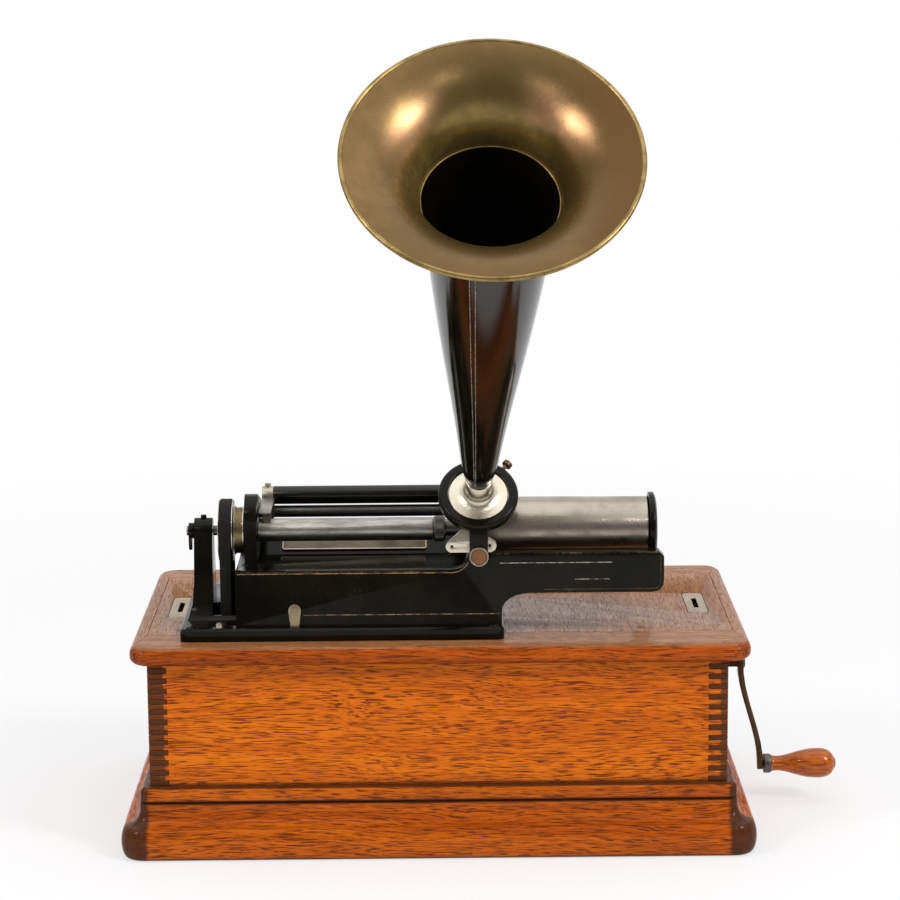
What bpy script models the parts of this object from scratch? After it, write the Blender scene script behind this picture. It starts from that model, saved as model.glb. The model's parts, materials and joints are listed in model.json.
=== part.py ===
# A cylinder phonograph: oak cabinet, hinged deck, japanned bed and front-mounted horn.
# X runs to the right, Y to the back, Z up; the origin is the middle of the cabinet's underside.
import math

import bmesh
import bpy
from mathutils import Matrix, Vector

# Clearances and shared values
GAP = 0.0003
OVERRUN = 0.002
WELD_DISTANCE = 0.000001
FINE_ROUND = 24
ROUND = 14
SMALL_ROUND = 10

# Cabinet walls
CASE_WIDTH = 0.391
CASE_DEPTH = 0.212
WALL_THICK = 0.0127
WALL_HEIGHT = 0.1332
FINGER_PITCH = 0.0069
BASE_THICK = 0.008

# Plinth moulding: how far it stands out from the wall, and the heights of its members
PLINTH_HEIGHT = 0.0475
FOOT_SOLE = 0.016
FOOT_REACH = 0.020
FOOT_HEIGHT = 0.022
COVE_REACH = 0.007
COVE_TOP = 0.033
FILLET_TOP = 0.0365
GROOVE_REACH = 0.0045
GROOVE_HEIGHT = 0.0018
BEAD_REACH = 0.0065
BEAD_ROUND = 0.0035
PLINTH_CORNER_SHARE = 0.8

# Deck board
DECK_OVERHANG = 0.0132
DECK_WIDTH = CASE_WIDTH + 2 * DECK_OVERHANG
DECK_DEPTH = CASE_DEPTH + 2 * DECK_OVERHANG
DECK_THICK = 0.0125
DECK_SHIFT = 0.0018
DECK_CORNER = 0.014
DECK_EDGE = 0.0055
PANEL_FRONT = -0.080
DECK_BACK_STRIP = 0.030
DECK_END_STRIP = 0.0095
DECK_UNDER = WALL_HEIGHT + GAP
DECK_TOP = DECK_UNDER + DECK_THICK

# Catch plates let into the deck for the lid's hooks
CATCH_X = DECK_WIDTH / 2 - 0.0273
CATCH_SHIFT = 0.0007
CATCH_Y = -0.0015
CATCH_WIDTH = 0.014
CATCH_LENGTH = 0.057
CATCH_THICK = 0.0015
CATCH_CORNER = 0.003
CATCH_SLOT_WIDTH = 0.0035
CATCH_SLOT_LENGTH = 0.028
CATCH_MORTISE_WIDTH = 0.006
CATCH_MORTISE_LENGTH = 0.034
CATCH_MORTISE_DEPTH = 0.008

# Deck hinges
HINGE_X = 0.130
HINGE_LENGTH = 0.042
HINGE_BARREL = 0.0027
HINGE_PIN = 0.0012
HINGE_LEAF_THICK = 0.0012
HINGE_LEAF_REACH = 0.0100
HINGE_LEAF_DROP = 0.018
HINGE_Y = CASE_DEPTH / 2 + GAP + HINGE_BARREL
HINGE_Z = DECK_UNDER - GAP - HINGE_BARREL

# Bed casting
BED_BASE = DECK_TOP + GAP
BED_LEFT = -0.1735
BED_RIGHT = 0.0450
BED_FRONT = -0.1005
BED_BACK = 0.039
FLANGE_THICK = 0.0084
FLANGE_CORNER = 0.005
FLANGE_EDGE = 0.0015
FLANGE_TOP = BED_BASE + FLANGE_THICK
APRON_LEFT = -0.1359
APRON_END = BED_RIGHT - 0.0013
APRON_RIGHT = 0.010
APRON_FRONT = -0.091
APRON_WALL = 0.006
APRON_TOP = FLANGE_TOP + 0.0368
LEDGE_BACK = -0.035
SLOPE_BACK = -0.020
SLOPE_RISE = 0.012
BLOCK_BACK = 0.022
RAIL_RIGHT = 0.153
RAIL_BOTTOM = APRON_TOP - 0.0155
RAIL_STEP = 0.0123
RAIL_STEP_WIDTH = 0.0117
RAIL_TOP = APRON_TOP + RAIL_STEP
RAIL_THICK = 0.012
RAIL_CHAMFER = 0.0034
RAIL_CORNER = 0.0075
RAIL_ROOT_WIDTH = 0.0193
RAIL_ROOT_HEIGHT = 0.0118

# Rear arm, and the post at its end that holds the back rod
REAR_ARM_FRONT = 0.008
REAR_ARM_THICK = 0.0155
REAR_ARM_BOTTOM = FLANGE_TOP + 0.0298
REAR_ARM_TOP = REAR_ARM_BOTTOM + REAR_ARM_THICK
REAR_ARM_RIGHT = 0.152
POST_THICK = 0.008
POST_RADIUS = 0.0075

# Left pedestal and centre standard
PEDESTAL_LEFT = -0.1657
PEDESTAL_RIGHT = -0.1532
PEDESTAL_FLARE = 0.006
PEDESTAL_FLARE_HEIGHT = 0.0248
PEDESTAL_RISE_SHARES = (0.0, 0.13, 0.45, 1.0)
PEDESTAL_FLARE_SHARES = (1.0, 0.62, 0.2, 0.0)
PEDESTAL_SPREAD_SHARES = (1.0, 0.72, 0.41, 0.26)
PEDESTAL_HEAD = 0.009
PEDESTAL_FOOT_HALF = 0.027
PEDESTAL_WAIST_HALF = 0.013
OIL_CUP_RADIUS = 0.002
OIL_CUP_RISE = 0.002
STANDARD_LEFT = -0.1309
STANDARD_RIGHT = -0.1226
STANDARD_HEAD = 0.016
STANDARD_HEAD_RISE = 0.0092
STANDARD_ROD_HEAD = 0.0085

# Opening for the belt, through the bed and the deck
BELT_OPENING_FRONT = -0.078
BELT_OPENING_BACK = -0.022
BELT_LIP_RISE = 0.0045

# Shaft line
SHAFT_Y = -0.050
SHAFT_Z = DECK_TOP + 0.066
SHAFT_RADIUS = 0.005
SHAFT_NECK_RADIUS = 0.0034
SHAFT_LEFT = -0.1527
SHAFT_RIGHT = 0.1421
WHEEL_LEFT = -0.1488
WHEEL_WIDTH = 0.0099
WHEEL_RADIUS = 0.021
WHEEL_FLANGE = 0.0006
BELT_SEAT_DEPTH = 0.0012
DRUM_LEFT = -0.1381
DRUM_WIDTH = 0.0066
DRUM_RADIUS = 0.0165
DRUM_WAIST = 0.0158
DRUM_FLANGE = 0.0008
FEED_LEFT = -0.1220
FEED_RIGHT = -0.0025
FEED_RADIUS = 0.0079
COLLAR_WIDTH = 0.0083
COLLAR_RADIUS = 0.00885
COLLAR_NOTCHES = 10
MANDREL_LEFT = 0.027
MANDREL_RIGHT = 0.1443
MANDREL_RADIUS = 0.0216
MANDREL_END_RADIUS = 0.0209
MANDREL_WALL = 0.002
MANDREL_WEB = 0.006
MANDREL_TUBE = 0.008
MANDREL_RECESS = 0.006

# Centre screw, wing nut and speed screw
CENTRE_SCREW_RADIUS = 0.003
CENTRE_SCREW_LEFT = -0.1712
CENTRE_SCREW_HEAD = 0.0034
CENTRE_SCREW_HEAD_THICK = 0.0011
WING_NUT_THICK = 0.0038
WING_NUT_RADIUS = 0.0055
WING_REACH = 0.0136
WING_WIDTH = 0.0095
WING_THICK = 0.0022
SPEED_SCREW_X = -0.1469
SPEED_SCREW_HEAD = 0.0039
SPEED_SCREW_RISE = 0.0036
SPEED_SCREW_RADIUS = 0.0015
SPEED_SCREW_DEPTH = 0.004

# Bed screws
SCREW_INSET_X = 0.0072
SCREW_INSET_FRONT = 0.004
SCREW_INSET_BACK = 0.010
SCREW_SHANK = 0.0018
SCREW_LENGTH = 0.016

# Bare plate on the bed's slope
PLATE_LEFT = -0.107
PLATE_RIGHT = -0.007
PLATE_THICK = 0.001
PLATE_HEIGHT = 0.012

# Start lever in its slot
LEVER_X = -0.0961
LEVER_TRAVEL = 0.022
LEVER_TOP = 0.0156
LEVER_HEAD = 0.00435
LEVER_STEM = 0.003
LEVER_THICK = 0.002
LEVER_SLOT_DEPTH = 0.0045
LEVER_Y = -0.0940

# Back rod and carriage
ROD_Y = 0.0
ROD_Z = SHAFT_Z + 0.0024
ROD_RADIUS = 0.0042
TUBE_RISE = 0.0116
TUBE_RADIUS = 0.0064
TUBE_LEFT = -0.1140
BRACKET_LEFT = -0.1220
BRACKET_WIDTH = 0.008
BRACKET_WALL = 0.0025
BRACKET_SCREW_RADIUS = 0.0022
BRACKET_SCREW_RISE = 0.002
TUBE_SEAT = 0.0045
NUT_LEFT = -0.1192
NUT_WIDTH = 0.006
NUT_THICK = 0.004
NUT_HALF = 0.0055
NUT_ARM_THICK = 0.0012
CARRIAGE_X = 0.0282
ARM_WIDTH = 0.0125
HUB_HALF = 0.009
HUB_WALL = 0.0035
ARCH_INNER = 0.038
ARCH_OUTER = 0.048
ARCH_START_TURN = 19
ARCH_END_TURN = 107

# Reproducer ring: tilted towards the player, the horn leaning a little to the right
RING_TILT = 44
HORN_LEAN = 0.85
RING_STANDOFF = 0.0406
RING_RADIUS = 0.027
RING_BORE = 0.0205
RING_SEAT = 0.0225
RING_FRONT = 0.0045
RING_BACK = -0.002
RING_EDGE = 0.0015
LEG_FRONT = -0.0985
LEG_BACK = APRON_FRONT - 3 * GAP
LEG_LIP_DROP = 0.0073
KNOB_RADIUS = 0.0065
KNOB_THICK = 0.0035
KNOB_RIM = 0.0006
KNOB_SPINDLE = 0.0022
GUIDE_THICK = 0.0016
GUIDE_RAIL_GAP = 0.0004
GUIDE_CROWN_LEFT = 0.0115
GUIDE_CROWN_HEIGHT = 0.0160
GUIDE_HEIGHT = 0.0145
GUIDE_LEFT_REACH = 0.0180
GUIDE_LEFT_LOBE = 0.0043
GUIDE_RIGHT_REACH = 0.0073
GUIDE_RIGHT_LOBE = 0.0048
GUIDE_HOLE = 0.001
THUMB_TURN = 51
THUMB_SHANK = 0.0014
THUMB_HEAD = 0.0033
THUMB_HEAD_THICK = 0.003
THUMB_LENGTH = 0.0065
BODY_WALL = 0.0028
BODY_FRONT = 0.0015
BODY_BACK = -0.0085
BODY_LIP = 0.0015
DIAPHRAGM_THICK = 0.0005
DISH_RADIUS = 0.0200
DISH_RIM_THICK = 0.0012
DISH_NECK_RADIUS = 0.0092
DISH_FLARE_TOP = 0.0085
DISH_NECK_TOP = 0.022
DISH_BORE = 0.0085
WEIGHT_RADIUS = 0.0125
WEIGHT_THICK = 0.0022
WEIGHT_TAIL = 0.019
WEIGHT_TAIL_HALF = 0.004
STYLUS_RADIUS = 0.0012
STYLUS_DROP = 0.0014

# Horn, measured along the reproducer's axis from the ring's centre
CONE_START = 0.014
CONE_LENGTH = 0.3067
CONE_SMALL_RADIUS = 0.0080
CONE_LARGE_RADIUS = 0.0411
CONE_WALL = 0.0009
CONE_ALONG_SHARES = (0.0, 0.026, 0.041, 0.099, 0.273, 0.64, 1.0)
CONE_SWELL_SHARES = (0.0, 0.006, 0.056, 0.133, 0.296, 0.677, 1.0)
BELL_SLEEVE = 0.006
BELL_DEPTH = 0.0420
BELL_RADIUS = 0.0866
BELL_WALL = 0.0009
BELL_BEAD = 0.0016
BELL_TURN = 76
BELL_STEPS = 5

# End gate and its pin
GATE_X = 0.146
GATE_Y = 0.016
GATE_DISC_LEFT = 0.1449
GATE_DISC_RIGHT = 0.1500
GATE_RADIUS = 0.024
GATE_RIM = 0.003
GATE_WEB = 0.003
GATE_HUB = 0.007
GATE_POINT = 0.0025
GATE_ARM_DROP = 0.0135
GATE_ARM_HEIGHT = 0.011
GATE_ARM_LEFT = 0.1452
GATE_KNUCKLE = 0.0062
GATE_PIN_RADIUS = 0.0022
GATE_PIN_HEAD = 0.0042
GATE_PIN_HEAD_THICK = 0.002
GATE_PIN_DEPTH = 0.010

# Motor under the deck
TOOTH_MODULE = 0.003
RING_TEETH = 28
WHEEL_TEETH = 16
PINION_TEETH = 8
GOVERNOR_WHEEL_TEETH = 13
WINDING_TEETH = 11
ARBOR_TEETH = 15
ADDENDUM_SHARE = 0.8
DEDENDUM_SHARE = 1.15
TOOTH_ROOT_SHARE = 0.27
TOOTH_TIP_SHARE = 0.13
GEAR_WIDTH = 0.005
PINION_WIDTH = 0.007
FRAME_PLATE = 0.004
OUTER_PLATE_X = -0.124
MIDDLE_PLATE_X = -0.020
RIGHT_PLATE_X = 0.092
FRAME_DROP = 0.009
FRAME_TOP = DECK_UNDER - FRAME_DROP
FRAME_MARGIN = 0.010
FRAME_BRIDGE = 0.004
FRAME_POST = 0.005
WINDING_Y = 0.0
WINDING_DROP = 0.032
WINDING_Z = DECK_UNDER - WINDING_DROP
WINDING_RADIUS = 0.004
WINDING_END = 0.148
WINDING_GEAR_X = 0.1005
ARBOR_Y = 0.020
ARBOR_RADIUS = 0.0045
BARREL_RADIUS = 0.038
BARREL_WIDTH = 0.044
BARREL_LEFT = 0.034
BARREL_GEAR_X = 0.022
INTERMEDIATE_Y = -0.026
INTERMEDIATE_RADIUS = 0.003
WHEEL_GEAR_X = -0.008
PULLEY_RADIUS = 0.017
PULLEY_SHAFT = 0.0028
GOVERNOR_GEAR_X = -0.032
GOVERNOR_DY = 0.016
GOVERNOR_SHAFT = 0.002
GOVERNOR_BALL = 0.0055
GOVERNOR_SWING = 0.0115
GOVERNOR_BALL_X = -0.078
GOVERNOR_SPAN = 0.020
GOVERNOR_COLLAR = 0.005
GOVERNOR_SPRING_THICK = 0.001
GOVERNOR_SPRING_HALF = 0.002
GOVERNOR_DISC = 0.012
GOVERNOR_DISC_THICK = 0.0015
SHAFT_STUB = 0.003

# Belt
BELT_THICK = 0.0016
BELT_SIDE_GAP = 0.0005

# Crank
CRANK_SHAFT_RADIUS = 0.003
CRANK_SHAFT_END = 0.150
CRANK_CLEARANCE = 0.0025
CRANK_ARM_X = DECK_WIDTH / 2 + DECK_SHIFT + CRANK_CLEARANCE
CRANK_ARM_THICK = 0.0037
CRANK_THROW = 0.0745
CRANK_SET = 0.015
CRANK_ARM_HALF = 0.0052
CRANK_ARM_END_HALF = 0.0042
CRANK_RIVET = 0.0048
CRANK_RIVET_THICK = 0.0015
HANDLE_PIN = 0.0020
HANDLE_LENGTH = 0.0505
HANDLE_BORE = 0.0023
HANDLE_MAX = 0.0112
HANDLE_NECK = 0.006
HANDLE_ALONG_SHARES = (0.0, 0.06, 0.15, 0.26, 0.42, 0.60, 0.78, 0.92, 1.0)
HANDLE_SWELL_SHARES = (0.42, 0.40, 0.08, 0.0, 0.36, 0.82, 1.0, 0.65, -0.3)
BUSH_RADIUS = 0.007
BUSH_FLANGE = 0.0095
BUSH_FLANGE_THICK = 0.0015
BUSH_BORE = 0.0033

# Finishes: colour, metallic, roughness
OAK = ((0.55, 0.24, 0.07), 0.0, 0.35)
DECK_OAK = ((0.46, 0.22, 0.12), 0.0, 0.35)
JAPAN = ((0.012, 0.012, 0.014), 0.0, 0.2)
NICKEL = ((0.62, 0.60, 0.54), 1.0, 0.28)
STEEL = ((0.35, 0.34, 0.33), 1.0, 0.4)
BRASS = ((0.56, 0.40, 0.16), 1.0, 0.38)
COPPER = ((0.45, 0.20, 0.08), 1.0, 0.35)
LEATHER = ((0.02, 0.018, 0.016), 0.0, 0.7)
HANDLE_WOOD = ((0.42, 0.15, 0.04), 0.0, 0.3)
MICA = ((0.75, 0.70, 0.58), 0.0, 0.2)


def arc(centre, radius, start, end, steps, height=None):
    # Points of an arc or an elliptic arc, angles in degrees
    tall = radius if height is None else height
    points = []
    for step in range(steps + 1):
        turn = math.radians(start + (end - start) * step / steps)
        points.append((centre[0] + radius * math.cos(turn), centre[1] + tall * math.sin(turn)))
    return points


def rounded_box(low, high, radius, steps=3):
    # A rectangle between two corners, with round corners
    left, bottom = low[0] + radius, low[1] + radius
    right, top = high[0] - radius, high[1] - radius
    return (
        arc((right, bottom), radius, -90, 0, steps)
        + arc((right, top), radius, 0, 90, steps)
        + arc((left, top), radius, 90, 180, steps)
        + arc((left, bottom), radius, 180, 270, steps)
    )


def hull(points):
    # The convex outline round a set of points
    ordered = sorted(set(points))
    chains = []
    for run in (ordered, ordered[::-1]):
        chain = []
        for point in run:
            while len(chain) > 1:
                a, b = chain[-2], chain[-1]
                if (b[0] - a[0]) * (point[1] - a[1]) - (b[1] - a[1]) * (point[0] - a[0]) > 0:
                    break
                chain.pop()
            chain.append(point)
        chains.append(chain[:-1])
    return chains[0] + chains[1]


def inset(outline, distance):
    # A convex anticlockwise outline with each edge moved inwards
    moved = []
    count = len(outline)
    for index, corner in enumerate(outline):
        before = Vector(corner) - Vector(outline[index - 1])
        after = Vector(outline[(index + 1) % count]) - Vector(corner)
        first = Vector((-before.y, before.x)).normalized()
        second = Vector((-after.y, after.x)).normalized()
        bisector = (first + second).normalized()
        shift = bisector * (distance / bisector.dot(first))
        moved.append((corner[0] + shift.x, corner[1] + shift.y))
    return moved


def path_offset(points, distance):
    # An open path moved sideways, to the left of its direction
    moved = []
    for index, point in enumerate(points):
        before = Vector(points[max(index - 1, 0)])
        after = Vector(points[min(index + 1, len(points) - 1)])
        run = (after - before).normalized()
        moved.append((point[0] - run.y * distance, point[1] + run.x * distance))
    return moved


def to_mesh(solid):
    bmesh.ops.remove_doubles(solid, verts=solid.verts[:], dist=WELD_DISTANCE)
    bmesh.ops.recalc_face_normals(solid, faces=solid.faces[:])
    mesh = bpy.data.meshes.new("solid")
    solid.to_mesh(mesh)
    solid.free()
    return mesh


def slab(axis, outline, low, high):
    # An outline pushed along an axis: its plane is YZ for X, XZ for Y and XY for Z
    places = {
        "X": lambda u, v, w: (w, u, v),
        "Y": lambda u, v, w: (u, w, v),
        "Z": lambda u, v, w: (u, v, w),
    }
    place = places[axis]
    solid = bmesh.new()
    face = solid.faces.new([solid.verts.new(place(u, v, low)) for u, v in outline])
    grown = bmesh.ops.extrude_face_region(solid, geom=[face])
    moved = [item for item in grown["geom"] if isinstance(item, bmesh.types.BMVert)]
    bmesh.ops.translate(solid, vec=place(0, 0, high - low), verts=moved)
    return to_mesh(solid)


def block(low, high):
    # A rectangular block between two corners
    outline = [(low[0], low[1]), (high[0], low[1]), (high[0], high[1]), (low[0], high[1])]
    return slab("Z", outline, low[2], high[2])


def turned(profile, sides=ROUND, ring=False):
    # A profile of (radius, height) points spun about the local Z axis
    solid = bmesh.new()
    corners = [solid.verts.new((radius, 0, height)) for radius, height in profile]
    edges = [solid.edges.new(pair) for pair in zip(corners, corners[1:])]
    if ring:
        edges.append(solid.edges.new((corners[-1], corners[0])))
    bmesh.ops.spin(
        solid,
        geom=corners + edges,
        cent=(0, 0, 0),
        axis=(0, 0, 1),
        angle=math.tau,
        steps=sides,
        use_merge=True,
    )
    return to_mesh(solid)


def rod(radius, low, high, sides=ROUND):
    return turned([(0, low), (radius, low), (radius, high), (0, high)], sides)


def sleeve(bore, radius, low, high, sides=ROUND):
    return turned([(bore, low), (radius, low), (radius, high), (bore, high)], sides, ring=True)


def loft(loops, closed=False):
    # Skin stretched over loops of the same number of points
    solid = bmesh.new()
    rings = [[solid.verts.new(point) for point in loop] for loop in loops]
    pairs = list(zip(rings, rings[1:]))
    if closed:
        pairs.append((rings[-1], rings[0]))
    else:
        solid.faces.new(rings[0])
        solid.faces.new(rings[-1])
    for near, far in pairs:
        for index in range(len(near)):
            following = (index + 1) % len(near)
            solid.faces.new((near[index], near[following], far[following], far[index]))
    return to_mesh(solid)


def toward(direction, place=(0, 0, 0)):
    # A placement that carries local Z onto a direction
    turn = Vector((0, 0, 1)).rotation_difference(Vector(direction))
    return Matrix.Translation(place) @ turn.to_matrix().to_4x4()


def on_line(y, z):
    # A placement on a line along X
    return toward((1, 0, 0), (0, y, z))


def piece(name, mesh, finish, place=None, smooth=40):
    colour, metallic, roughness = finish
    surface = bpy.data.materials.new(name)
    surface.use_nodes = True
    shader = surface.node_tree.nodes["Principled BSDF"]
    shader.inputs["Base Color"].default_value = (*colour, 1)
    shader.inputs["Metallic"].default_value = metallic
    shader.inputs["Roughness"].default_value = roughness
    mesh.name = name
    mesh.materials.append(surface)
    mesh.shade_smooth()
    mesh.set_sharp_from_angle(angle=math.radians(smooth))
    thing = bpy.data.objects.new(name, mesh)
    bpy.context.collection.objects.link(thing)
    if place is not None:
        thing.matrix_world = place
    return thing


def tool(mesh, owner, operation, place=None):
    # A hidden shape that is cut from its owner, added to it or kept in common with it
    shape = bpy.data.objects.new(owner.name + "_tool", mesh)
    bpy.context.collection.objects.link(shape)
    shape.hide_render = True
    shape.display_type = "WIRE"
    if place is not None:
        shape.matrix_world = place
    change = owner.modifiers.new(operation.lower(), "BOOLEAN")
    change.operation = operation
    change.object = shape
    return shape


def cut(owner, mesh, place=None):
    tool(mesh, owner, "DIFFERENCE", place)


def add(owner, mesh, place=None):
    tool(mesh, owner, "UNION", place)


def keep(owner, mesh, place=None):
    tool(mesh, owner, "INTERSECT", place)


def axis_mark(name, place, pieces):
    # An empty on a joint's axis that carries the pieces that move about it
    mark = bpy.data.objects.new(name, None)
    bpy.context.collection.objects.link(mark)
    mark.location = place
    bpy.context.view_layer.update()
    for thing in pieces:
        thing.parent = mark
        thing.matrix_parent_inverse = mark.matrix_world.inverted()
    return mark


def wall_end(reach, root, fingers_above):
    # Points up one end of a wall, whose fingers fill one half of each pitch
    count = round((WALL_HEIGHT - PLINTH_HEIGHT) / FINGER_PITCH)
    pitch = (WALL_HEIGHT - PLINTH_HEIGHT) / count
    here, there = (reach, root) if fingers_above else (root, reach)
    turns = []
    for index in range(count):
        low = PLINTH_HEIGHT + index * pitch
        sign = 1 if fingers_above else -1
        turns.append(low - sign * GAP / 2)
        turns.append(low + pitch / 2 + sign * GAP / 2)
    points = [(here, 0)]
    for height in turns:
        points.append((here, height))
        here, there = there, here
        points.append((here, height))
    points.append((here, WALL_HEIGHT))
    return points


def wall_outline(half, fingers_above):
    right = wall_end(half, half - WALL_THICK - GAP, fingers_above)
    left = [(-x, z) for x, z in reversed(right)]
    return right + left


def make_walls():
    half_width = CASE_WIDTH / 2
    half_depth = CASE_DEPTH / 2
    long_outline = wall_outline(half_width, True)
    short_outline = wall_outline(half_depth, False)
    front = piece("wall_front", slab("Y", long_outline, -half_depth, WALL_THICK - half_depth), OAK)
    back = piece("wall_back", slab("Y", long_outline, half_depth - WALL_THICK, half_depth), OAK)
    left = piece("wall_left", slab("X", short_outline, -half_width, WALL_THICK - half_width), OAK)
    right = piece("wall_right", slab("X", short_outline, half_width - WALL_THICK, half_width), OAK)
    hole = rod(BUSH_RADIUS + GAP, -OVERRUN, WALL_THICK + 2 * OVERRUN, SMALL_ROUND)
    cut(right, hole, toward((1, 0, 0), (half_width - WALL_THICK, WINDING_Y, WINDING_Z)))
    inner_x = half_width - WALL_THICK - 2 * GAP
    inner_y = half_depth - WALL_THICK - GAP
    board = block((-inner_x, -inner_y, 0), (inner_x, inner_y, BASE_THICK))
    return [front, back, left, right, piece("bottom_board", board, OAK)]


def plinth_profile():
    # Offsets from the wall and heights, from the floor up the moulding
    middle = FOOT_HEIGHT / 2
    cove_width = FOOT_SOLE - COVE_REACH
    cove_height = COVE_TOP - FOOT_HEIGHT
    bead_low = FILLET_TOP + GROOVE_HEIGHT
    bead_centre = (BEAD_REACH - BEAD_ROUND, PLINTH_HEIGHT - BEAD_ROUND)
    profile = [(GAP, 0)]
    profile += arc((FOOT_SOLE, middle), FOOT_REACH - FOOT_SOLE, -90, 90, 4, middle)
    profile += arc((FOOT_SOLE, COVE_TOP), cove_width, 270, 180, 3, cove_height)[1:]
    profile += [(COVE_REACH, FILLET_TOP), (GROOVE_REACH, FILLET_TOP), (GROOVE_REACH, bead_low)]
    profile += [(BEAD_REACH, bead_low)]
    profile += arc(bead_centre, BEAD_ROUND, 0, 90, 3)
    profile += [(GAP, PLINTH_HEIGHT)]
    return profile


def plinth_strip(half_length, half_depth):
    # One moulding along X at the front, mitred at its ends, its corners rounded in plan
    stations = [(1, 45), (1, 22.5), (1, 0), (-1, 0), (-1, 22.5), (-1, 45)]
    loops = []
    for side, turn in stations:
        loop = []
        for offset, height in plinth_profile():
            radius = offset * PLINTH_CORNER_SHARE
            x = half_length + offset - radius + radius * math.sin(math.radians(turn))
            y = half_depth + offset - radius + radius * math.cos(math.radians(turn))
            if turn == 45:
                x -= GAP
            loop.append((side * x, -y, height))
        loops.append(loop)
    return loft(loops)


def make_plinth():
    half_width = CASE_WIDTH / 2
    half_depth = CASE_DEPTH / 2
    sides = {
        "plinth_front": (half_width, half_depth, 0),
        "plinth_back": (half_width, half_depth, 180),
        "plinth_right": (half_depth, half_width, 90),
        "plinth_left": (half_depth, half_width, 270),
    }
    strips = []
    for name, (length, depth, turn) in sides.items():
        place = Matrix.Rotation(math.radians(turn), 4, "Z")
        strips.append(piece(name, plinth_strip(length, depth), OAK, place, smooth=30))
    return strips


def deck_blank():
    # The whole board with its corners and edges rounded
    loops = []
    rounding = arc((0, DECK_EDGE), DECK_EDGE, 270, 360, 2)
    levels = [(DECK_EDGE - x, z) for x, z in rounding]
    levels += [(distance, DECK_THICK - z) for distance, z in reversed(levels)]
    for distance, height in levels:
        low = (distance - DECK_WIDTH / 2, distance - DECK_DEPTH / 2)
        high = (DECK_WIDTH / 2 - distance, DECK_DEPTH / 2 - distance)
        outline = rounded_box(low, high, DECK_CORNER - distance)
        loops.append([(x + DECK_SHIFT, y, DECK_UNDER + height) for x, y in outline])
    return loft(loops)


def deck_regions():
    # The strips' plan outlines, whose mitre lines run from the board's corners
    right, front, back = DECK_WIDTH / 2, -DECK_DEPTH / 2, DECK_DEPTH / 2
    inner_right = right - DECK_END_STRIP
    inner_front = PANEL_FRONT
    inner_back = back - DECK_BACK_STRIP
    past = OVERRUN / DECK_END_STRIP
    far_right = right + past * DECK_END_STRIP
    far_front = front - past * (inner_front - front)
    far_back = back + past * DECK_BACK_STRIP
    regions = {
        "deck_front": [(-far_right, far_front), (far_right, far_front), (inner_right, inner_front),
                       (-inner_right, inner_front)],
        "deck_back": [(-inner_right, inner_back), (inner_right, inner_back), (far_right, far_back),
                      (-far_right, far_back)],
        "deck_left": [(-far_right, far_front), (-inner_right, inner_front),
                      (-inner_right, inner_back), (-far_right, far_back)],
        "deck_right": [(inner_right, inner_front), (far_right, far_front), (far_right, far_back),
                       (inner_right, inner_back)],
        "deck_panel": [(-inner_right, inner_front), (inner_right, inner_front),
                       (inner_right, inner_back), (-inner_right, inner_back)],
    }
    return {name: [(x + DECK_SHIFT, y) for x, y in outline] for name, outline in regions.items()}


def screw_spots():
    left, right = BED_LEFT + SCREW_INSET_X, BED_RIGHT - SCREW_INSET_X
    front, back = BED_FRONT + SCREW_INSET_FRONT, BED_BACK - SCREW_INSET_BACK
    return [(left, front), (right, front), (left, back), (right, back)]


def belt_opening(low, high):
    return block(
        (PEDESTAL_RIGHT, BELT_OPENING_FRONT, low),
        (APRON_LEFT, BELT_OPENING_BACK, high),
    )


def make_deck():
    boards = []
    for name, region in deck_regions().items():
        finish = DECK_OAK if name == "deck_panel" else OAK
        board = piece(name, deck_blank(), finish, smooth=30)
        outline = inset(region, GAP / 2)
        keep(board, slab("Z", outline, DECK_UNDER - OVERRUN, DECK_TOP + OVERRUN))
        boards.append(board)
    named = {board.name: board for board in boards}
    panel = named["deck_panel"]
    cut(panel, belt_opening(DECK_UNDER - OVERRUN, DECK_TOP + OVERRUN))
    for spot in screw_spots():
        board = named["deck_front"] if spot[1] < PANEL_FRONT else panel
        depth = BED_BASE + FLANGE_THICK - SCREW_LENGTH - GAP
        hole = rod(SCREW_SHANK + GAP, depth - DECK_TOP, OVERRUN, SMALL_ROUND)
        cut(board, hole, Matrix.Translation((*spot, DECK_TOP)))
    for side in (-1, 1):
        middle = Vector((side * CATCH_X + CATCH_SHIFT, CATCH_Y))
        half = Vector((CATCH_WIDTH, CATCH_LENGTH)) / 2
        bed = rounded_box(middle - half, middle + half, CATCH_CORNER, 2)
        recess_floor = DECK_TOP - CATCH_THICK - GAP
        cut(panel, slab("Z", inset(bed, -GAP), recess_floor, DECK_TOP + OVERRUN))
        half = Vector((CATCH_MORTISE_WIDTH, CATCH_MORTISE_LENGTH)) / 2
        low, high = middle - half, middle + half
        cut(panel, block((*low, recess_floor - CATCH_MORTISE_DEPTH), (*high, DECK_TOP + OVERRUN)))
    return boards


def make_catch_plates():
    # Each plate has the slot for a lid hook
    plates = []
    for name, side in (("catch_plate_left", -1), ("catch_plate_right", 1)):
        middle = Vector((side * CATCH_X + CATCH_SHIFT, CATCH_Y))
        outer_half = Vector((CATCH_WIDTH, CATCH_LENGTH)) / 2
        slot_half = Vector((CATCH_SLOT_WIDTH, CATCH_SLOT_LENGTH)) / 2
        outer = rounded_box(middle - outer_half, middle + outer_half, CATCH_CORNER, 2)
        slot = rounded_box(middle - slot_half, middle + slot_half, CATCH_SLOT_WIDTH / 2, 2)
        loops = []
        for outline, height in ((outer, -CATCH_THICK), (outer, 0), (slot, 0), (slot, -CATCH_THICK)):
            loops.append([(x, y, DECK_TOP + height) for x, y in outline])
        plates.append(piece(name, loft(loops, closed=True), NICKEL))
    return plates


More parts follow.
